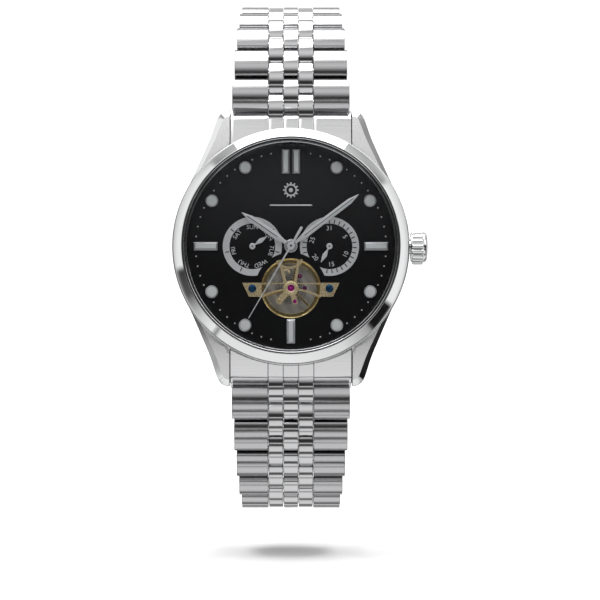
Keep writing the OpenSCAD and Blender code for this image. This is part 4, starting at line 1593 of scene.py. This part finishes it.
@dataclass
class Movement:
    """The bridges, wheels and jewels, most of them carried over from the frame."""

    nodes: dict[str, bpy.types.Object]
    pin: Point = (-2.1, -9.8)
    pin_reach: float = 0.7

    def aperture_ring(self) -> None:
        """The gilt edge of the opening round the balance, under the dial."""
        place = Matrix.Translation((*BALANCE, 0))
        shape = Shape().lathe([(5.1, 6.52), (5.44, 6.52), (5.44, 6.78), (5.3, 6.78), (5.1, 6.6)],
                              Finish.GOLD, 128, place)
        made = build("aperture_edge", shape, "case", 0.03)

    def balance_details(self) -> None:
        """The regulator with its curved index and stud, which sits on the balance bridge."""
        place = Matrix.Translation((*BALANCE, 0))
        shape = Shape()
        index = arc(0.55, 2.0, 1.9, 165, 225, 8) + arc(0.55, 2.0, 1.55, 225, 165, 8)
        shape.prism([index], 7.3, 7.5, Finish.GILT, place)
        hook = arc(-0.85, 2.65, 0.75, 140, 0, 10) + arc(-0.85, 2.65, 0.48, 0, 140, 10)
        shape.prism([hook], 7.3, 7.5, Finish.GILT, place)
        shape.lathe([(0.62, 7.6), (1.18, 7.6), (1.18, 7.68), (1.1, 7.72), (0.7, 7.72), (0.62, 7.68)],
                    Finish.GILT, 64, place)
        made = build("regulator", shape, "case", 0.04)

    def make(self) -> None:
        """Rounds the visible bridge, balance, rotor and screws, and adds the gilt ring and regulator."""
        rounded_copy(self.nodes["balance_bridge"], "balance_bridge_plate", "case", Finish.GILT, 0.05)
        rounded_copy(self.nodes["balance_wheel"], "balance_rim", "balance", Finish.GOLD, 0.05)
        rounded_copy(self.nodes["rotor"], "winding_rotor", "rotor", Finish.ROTOR, 0.06)
        screws = rounded_copy(self.nodes["movement_screws"], "screws", "case", Finish.BLUED, 0.04)
        screws.data.materials.append(material(Finish.GOLD))
        pin = Vector((self.pin[0] * MM, self.pin[1] * MM))
        for face in screws.data.polygons:
            if (Vector((face.center.x, face.center.z)) - pin).length < self.pin_reach * MM:
                face.material_index = 1
        self.balance_details()
        self.aperture_ring()


CAD_FINISHES: dict[str, Finish] = {
    "case_gaskets": Finish.RUBBER, "dial": Finish.DIAL, "subdial_rings": Finish.SILVERED,
    "movement_ring": Finish.NICKEL, "main_plate": Finish.NICKEL, "train_bridge": Finish.NICKEL,
    "jewels": Finish.RUBY, "spring_bars": Finish.POLISHED, "center_wheel": Finish.BRASS,
    "third_wheel": Finish.BRASS, "fourth_wheel": Finish.BRASS, "escape_wheel": Finish.BRASS,
    "pallet_fork": Finish.POLISHED, "hairspring": Finish.BLUED, "barrel": Finish.BRASS,
    "stem": Finish.POLISHED, "crown_gasket": Finish.RUBBER, "clasp_long_blade": Finish.SATIN,
    "clasp_short_blade": Finish.SATIN,
}


def dress_cad(nodes: dict[str, bpy.types.Object]) -> None:
    """Gives each carried-over CAD node its finish."""
    for name, finish in CAD_FINISHES.items():
        data = nodes[name].data
        data.materials.clear()
        data.materials.append(material(finish))
        data.polygons.foreach_set("material_index", [0] * len(data.polygons))
        log.info("%s: %s", name, finish.value)


# ---------------------------------------------------------------- studio


@dataclass
class Studio:
    """A plain pale floor, soft lights and the camera.

    The view's width and the camera's distance are in millimetres at the dial, and shift is a share of
    that width. The room's light is three grey ramps: ahead and behind by height, and round the sides by
    the turn about y.
    """

    view_width: float = 107.34
    distance: float = 640.0
    elevation: float = -4.7
    shift: Point = (0.0151667, -0.0896667)
    sensor: float = 36.0
    floor: float = -0.0555
    rise: float = 0.06
    front: tuple[Point, ...] = (
        (0.0, 0.3), (0.015, 0.35), (0.03, 0.95), (0.06, 0.85), (0.075, 0.12), (0.125, 0.12),
        (0.145, 0.95), (0.29, 0.85), (0.325, 0.1), (0.4, 0.08), (0.415, 0.75), (0.44, 0.7),
        (0.455, 0.04), (0.56, 0.04), (0.6, 0.2), (0.64, 0.45), (0.7, 0.72), (0.75, 0.9), (0.83, 0.85),
        (0.89, 0.55), (0.97, 0.6), (0.992, 0.95))
    sides: tuple[Point, ...] = (
        (0.0, 0.95), (0.116, 0.9), (0.122, 0.2), (0.128, 1.0), (0.15, 0.75), (0.19, 0.1), (0.226, 0.05),
        (0.234, 0.95), (0.384, 1.0), (0.392, 0.28), (0.46, 0.95), (0.54, 1.0), (0.642, 0.28),
        (0.65, 1.0), (0.82, 1.0), (0.827, 0.01), (0.866, 0.01), (0.872, 0.4), (0.92, 0.85), (1.0, 0.95))
    back: tuple[Point, ...] = (
        (0.0, 0.95), (0.05, 0.9), (0.09, 0.2), (0.2, 0.25), (0.24, 0.85), (0.45, 0.5), (0.55, 0.5),
        (0.8, 0.8), (0.88, 0.45), (0.95, 0.55), (1.0, 0.85))

    def camera(self) -> None:
        """A long lens that looks at the dial from slightly below its centre."""
        data = bpy.data.cameras.new("camera")
        data.sensor_width = self.sensor
        data.lens = self.sensor * self.distance / self.view_width
        data.shift_x, data.shift_y = self.shift
        data.clip_start, data.clip_end = 0.05, 20
        made = bpy.data.objects.new("camera", data)
        bpy.context.scene.collection.objects.link(made)
        tilt = math.radians(self.elevation)
        dial = Vector((0, -0.0075, 0))
        made.location = dial + Vector((0, -math.cos(tilt), math.sin(tilt))) * self.distance * MM
        made.rotation_euler = (math.radians(90) - tilt, 0, 0)
        bpy.context.scene.camera = made

    def backdrop(self) -> None:
        """A pale floor that rises gently to the back and curves up into a wall all round."""
        profile = [(0.3 * k, 0.0) for k in range(4)]
        profile += [(0.9 + 0.4 * math.sin(math.radians(a)), 0.4 - 0.4 * math.cos(math.radians(a)))
                    for a in range(6, 91, 6)]
        profile += [(1.3, 2.2)]
        around = 72
        points = [(0.0, 0.0, self.floor)]
        for radius, height in profile[1:]:
            for k in range(around):
                turned = 2 * math.pi * k / around
                y = radius * math.sin(turned)
                points.append((radius * math.cos(turned), y, self.floor + height + self.rise * y))
        faces = [[0, 1 + k, 1 + (k + 1) % around] for k in range(around)]
        faces += [[1 + r * around + k, 1 + (r + 1) * around + k, 1 + (r + 1) * around + (k + 1) % around,
                   1 + r * around + (k + 1) % around]
                  for r in range(len(profile) - 2) for k in range(around)]
        mesh = bpy.data.meshes.new("sweep")
        mesh.from_pydata(points, [], faces)
        mesh.polygons.foreach_set("use_smooth", [True] * len(mesh.polygons))
        paint = bpy.data.materials.new("sweep_paint")
        paint.use_nodes = True
        paint.node_tree.nodes.clear()
        graph = Graph(paint.node_tree)
        x, y, _ = graph.axes()
        reach = graph.length(x, y)
        glow = graph.node("ShaderNodeMapRange", None, {"Value": reach, "From Min": 0.08, "From Max": 0.35})
        surface = graph.node("ShaderNodeBsdfPrincipled", None, {
            "Base Color": rgb(0.92, 0.92, 0.92), "Roughness": 0.9, "Emission Strength": 0.55,
            "Emission Color": graph.blend(glow, rgb(0, 0, 0), rgb(1, 1, 1))})
        graph.node("ShaderNodeOutputMaterial", None, {"Surface": surface})
        mesh.materials.append(paint)
        made = bpy.data.objects.new("sweep", mesh)
        bpy.context.scene.collection.objects.link(made)
        made.visible_glossy = made.visible_diffuse = made.visible_shadow = False
        made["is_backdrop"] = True

    def lamp(self, name: str, place: tuple[float, float, float], size: tuple[float, float],
             power: float) -> None:
        """A rectangular soft light aimed at the watch.

        Args:
            name: The light's name.
            place: Where it stands, in metres.
            size: Its width and height, in metres.
            power: Its power, in watts.
        """
        data = bpy.data.lights.new(name, "AREA")
        data.shape = "RECTANGLE"
        data.size, data.size_y = size
        data.energy = power
        made = bpy.data.objects.new(name, data)
        made.location = place
        made.rotation_euler = (Vector((0, 0.01, 0)) - Vector(place)).to_track_quat("-Z", "Y").to_euler()
        bpy.context.scene.collection.objects.link(made)

    def world(self) -> None:
        """A grey room with bright and dark stretches by direction, which polished steel mirrors as bands."""
        world = bpy.data.worlds.new("room")
        bpy.context.scene.world = world
        world.use_nodes = True
        world.node_tree.nodes.clear()
        graph = Graph(world.node_tree)
        where = graph.node("ShaderNodeTexCoord", out="Generated")
        split = graph.node("ShaderNodeSeparateXYZ", None, {0: where}).socket.node.outputs
        x, y, z = (Socket(graph, output) for output in split)
        front = graph.node("ShaderNodeValToRGB", {"stops": self.front}, {0: z * 0.5 + 0.5})
        round_it = graph.node("ShaderNodeMath", {"operation": "ARCTAN2"}, {0: x, 1: z})
        side = graph.node("ShaderNodeValToRGB", {"stops": self.sides}, {0: round_it / (2 * math.pi) + 0.5})
        share = graph.node("ShaderNodeMapRange", None, {"Value": y, "From Min": -0.24, "From Max": -0.12})
        rear = graph.node("ShaderNodeValToRGB", {"stops": self.back}, {0: z * 0.5 + 0.5})
        past = graph.node("ShaderNodeMapRange", None, {"Value": y, "From Min": 0.18, "From Max": 0.32})
        side = graph.blend(past, side, rear)
        far = graph.node("ShaderNodeMath", {"operation": "ABSOLUTE"}, {0: x})
        wing = graph.node("ShaderNodeMapRange", None, {"Value": far, "From Min": 0.6, "From Max": 0.72})
        ahead = graph.node("ShaderNodeMapRange", None, {"Value": y, "From Min": -0.02, "From Max": -0.12})
        level = graph.blend(wing * ahead * 0.85, graph.blend(share, front, side), rgb(0.03, 0.03, 0.03))
        light = graph.node("ShaderNodeBackground", None, {"Color": level, "Strength": 0.98})
        graph.node("ShaderNodeOutputWorld", None, {"Surface": light})

    def make(self) -> None:
        """Sets up the studio."""
        self.camera()
        self.backdrop()
        self.world()
        self.lamp("top", (0.0, 0.02, 0.8), (0.8, 0.8), 7.0)
        self.lamp("key", (-0.25, -0.4, 0.75), (0.5, 0.5), 1.0)
        self.lamp("fill", (0.5, -0.4, 0.4), (0.3, 0.5), 0.6)
        bpy.context.scene.view_settings.view_transform = "Standard"


def corners() -> list[list[float]]:
    """The whole object's lowest and highest corner, as plain numbers."""
    return [[float(c) for c in corner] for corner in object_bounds()]


def main() -> None:
    """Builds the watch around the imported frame, then the studio."""
    logging.basicConfig(level=logging.INFO, format="%(message)s")
    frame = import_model()
    nodes = frame["nodes"]
    dress_cad(nodes)
    case = Case(nodes)
    case.make()
    Dial(nodes).make()
    make_hands()
    Movement(nodes).make()
    bracelet = Bracelet()
    bracelet.make()
    EndLinks(case, bracelet).make()
    Crown().make()
    Clasp(nodes, bracelet).make()
    Studio().make()


if __name__ == "__main__":
    main()
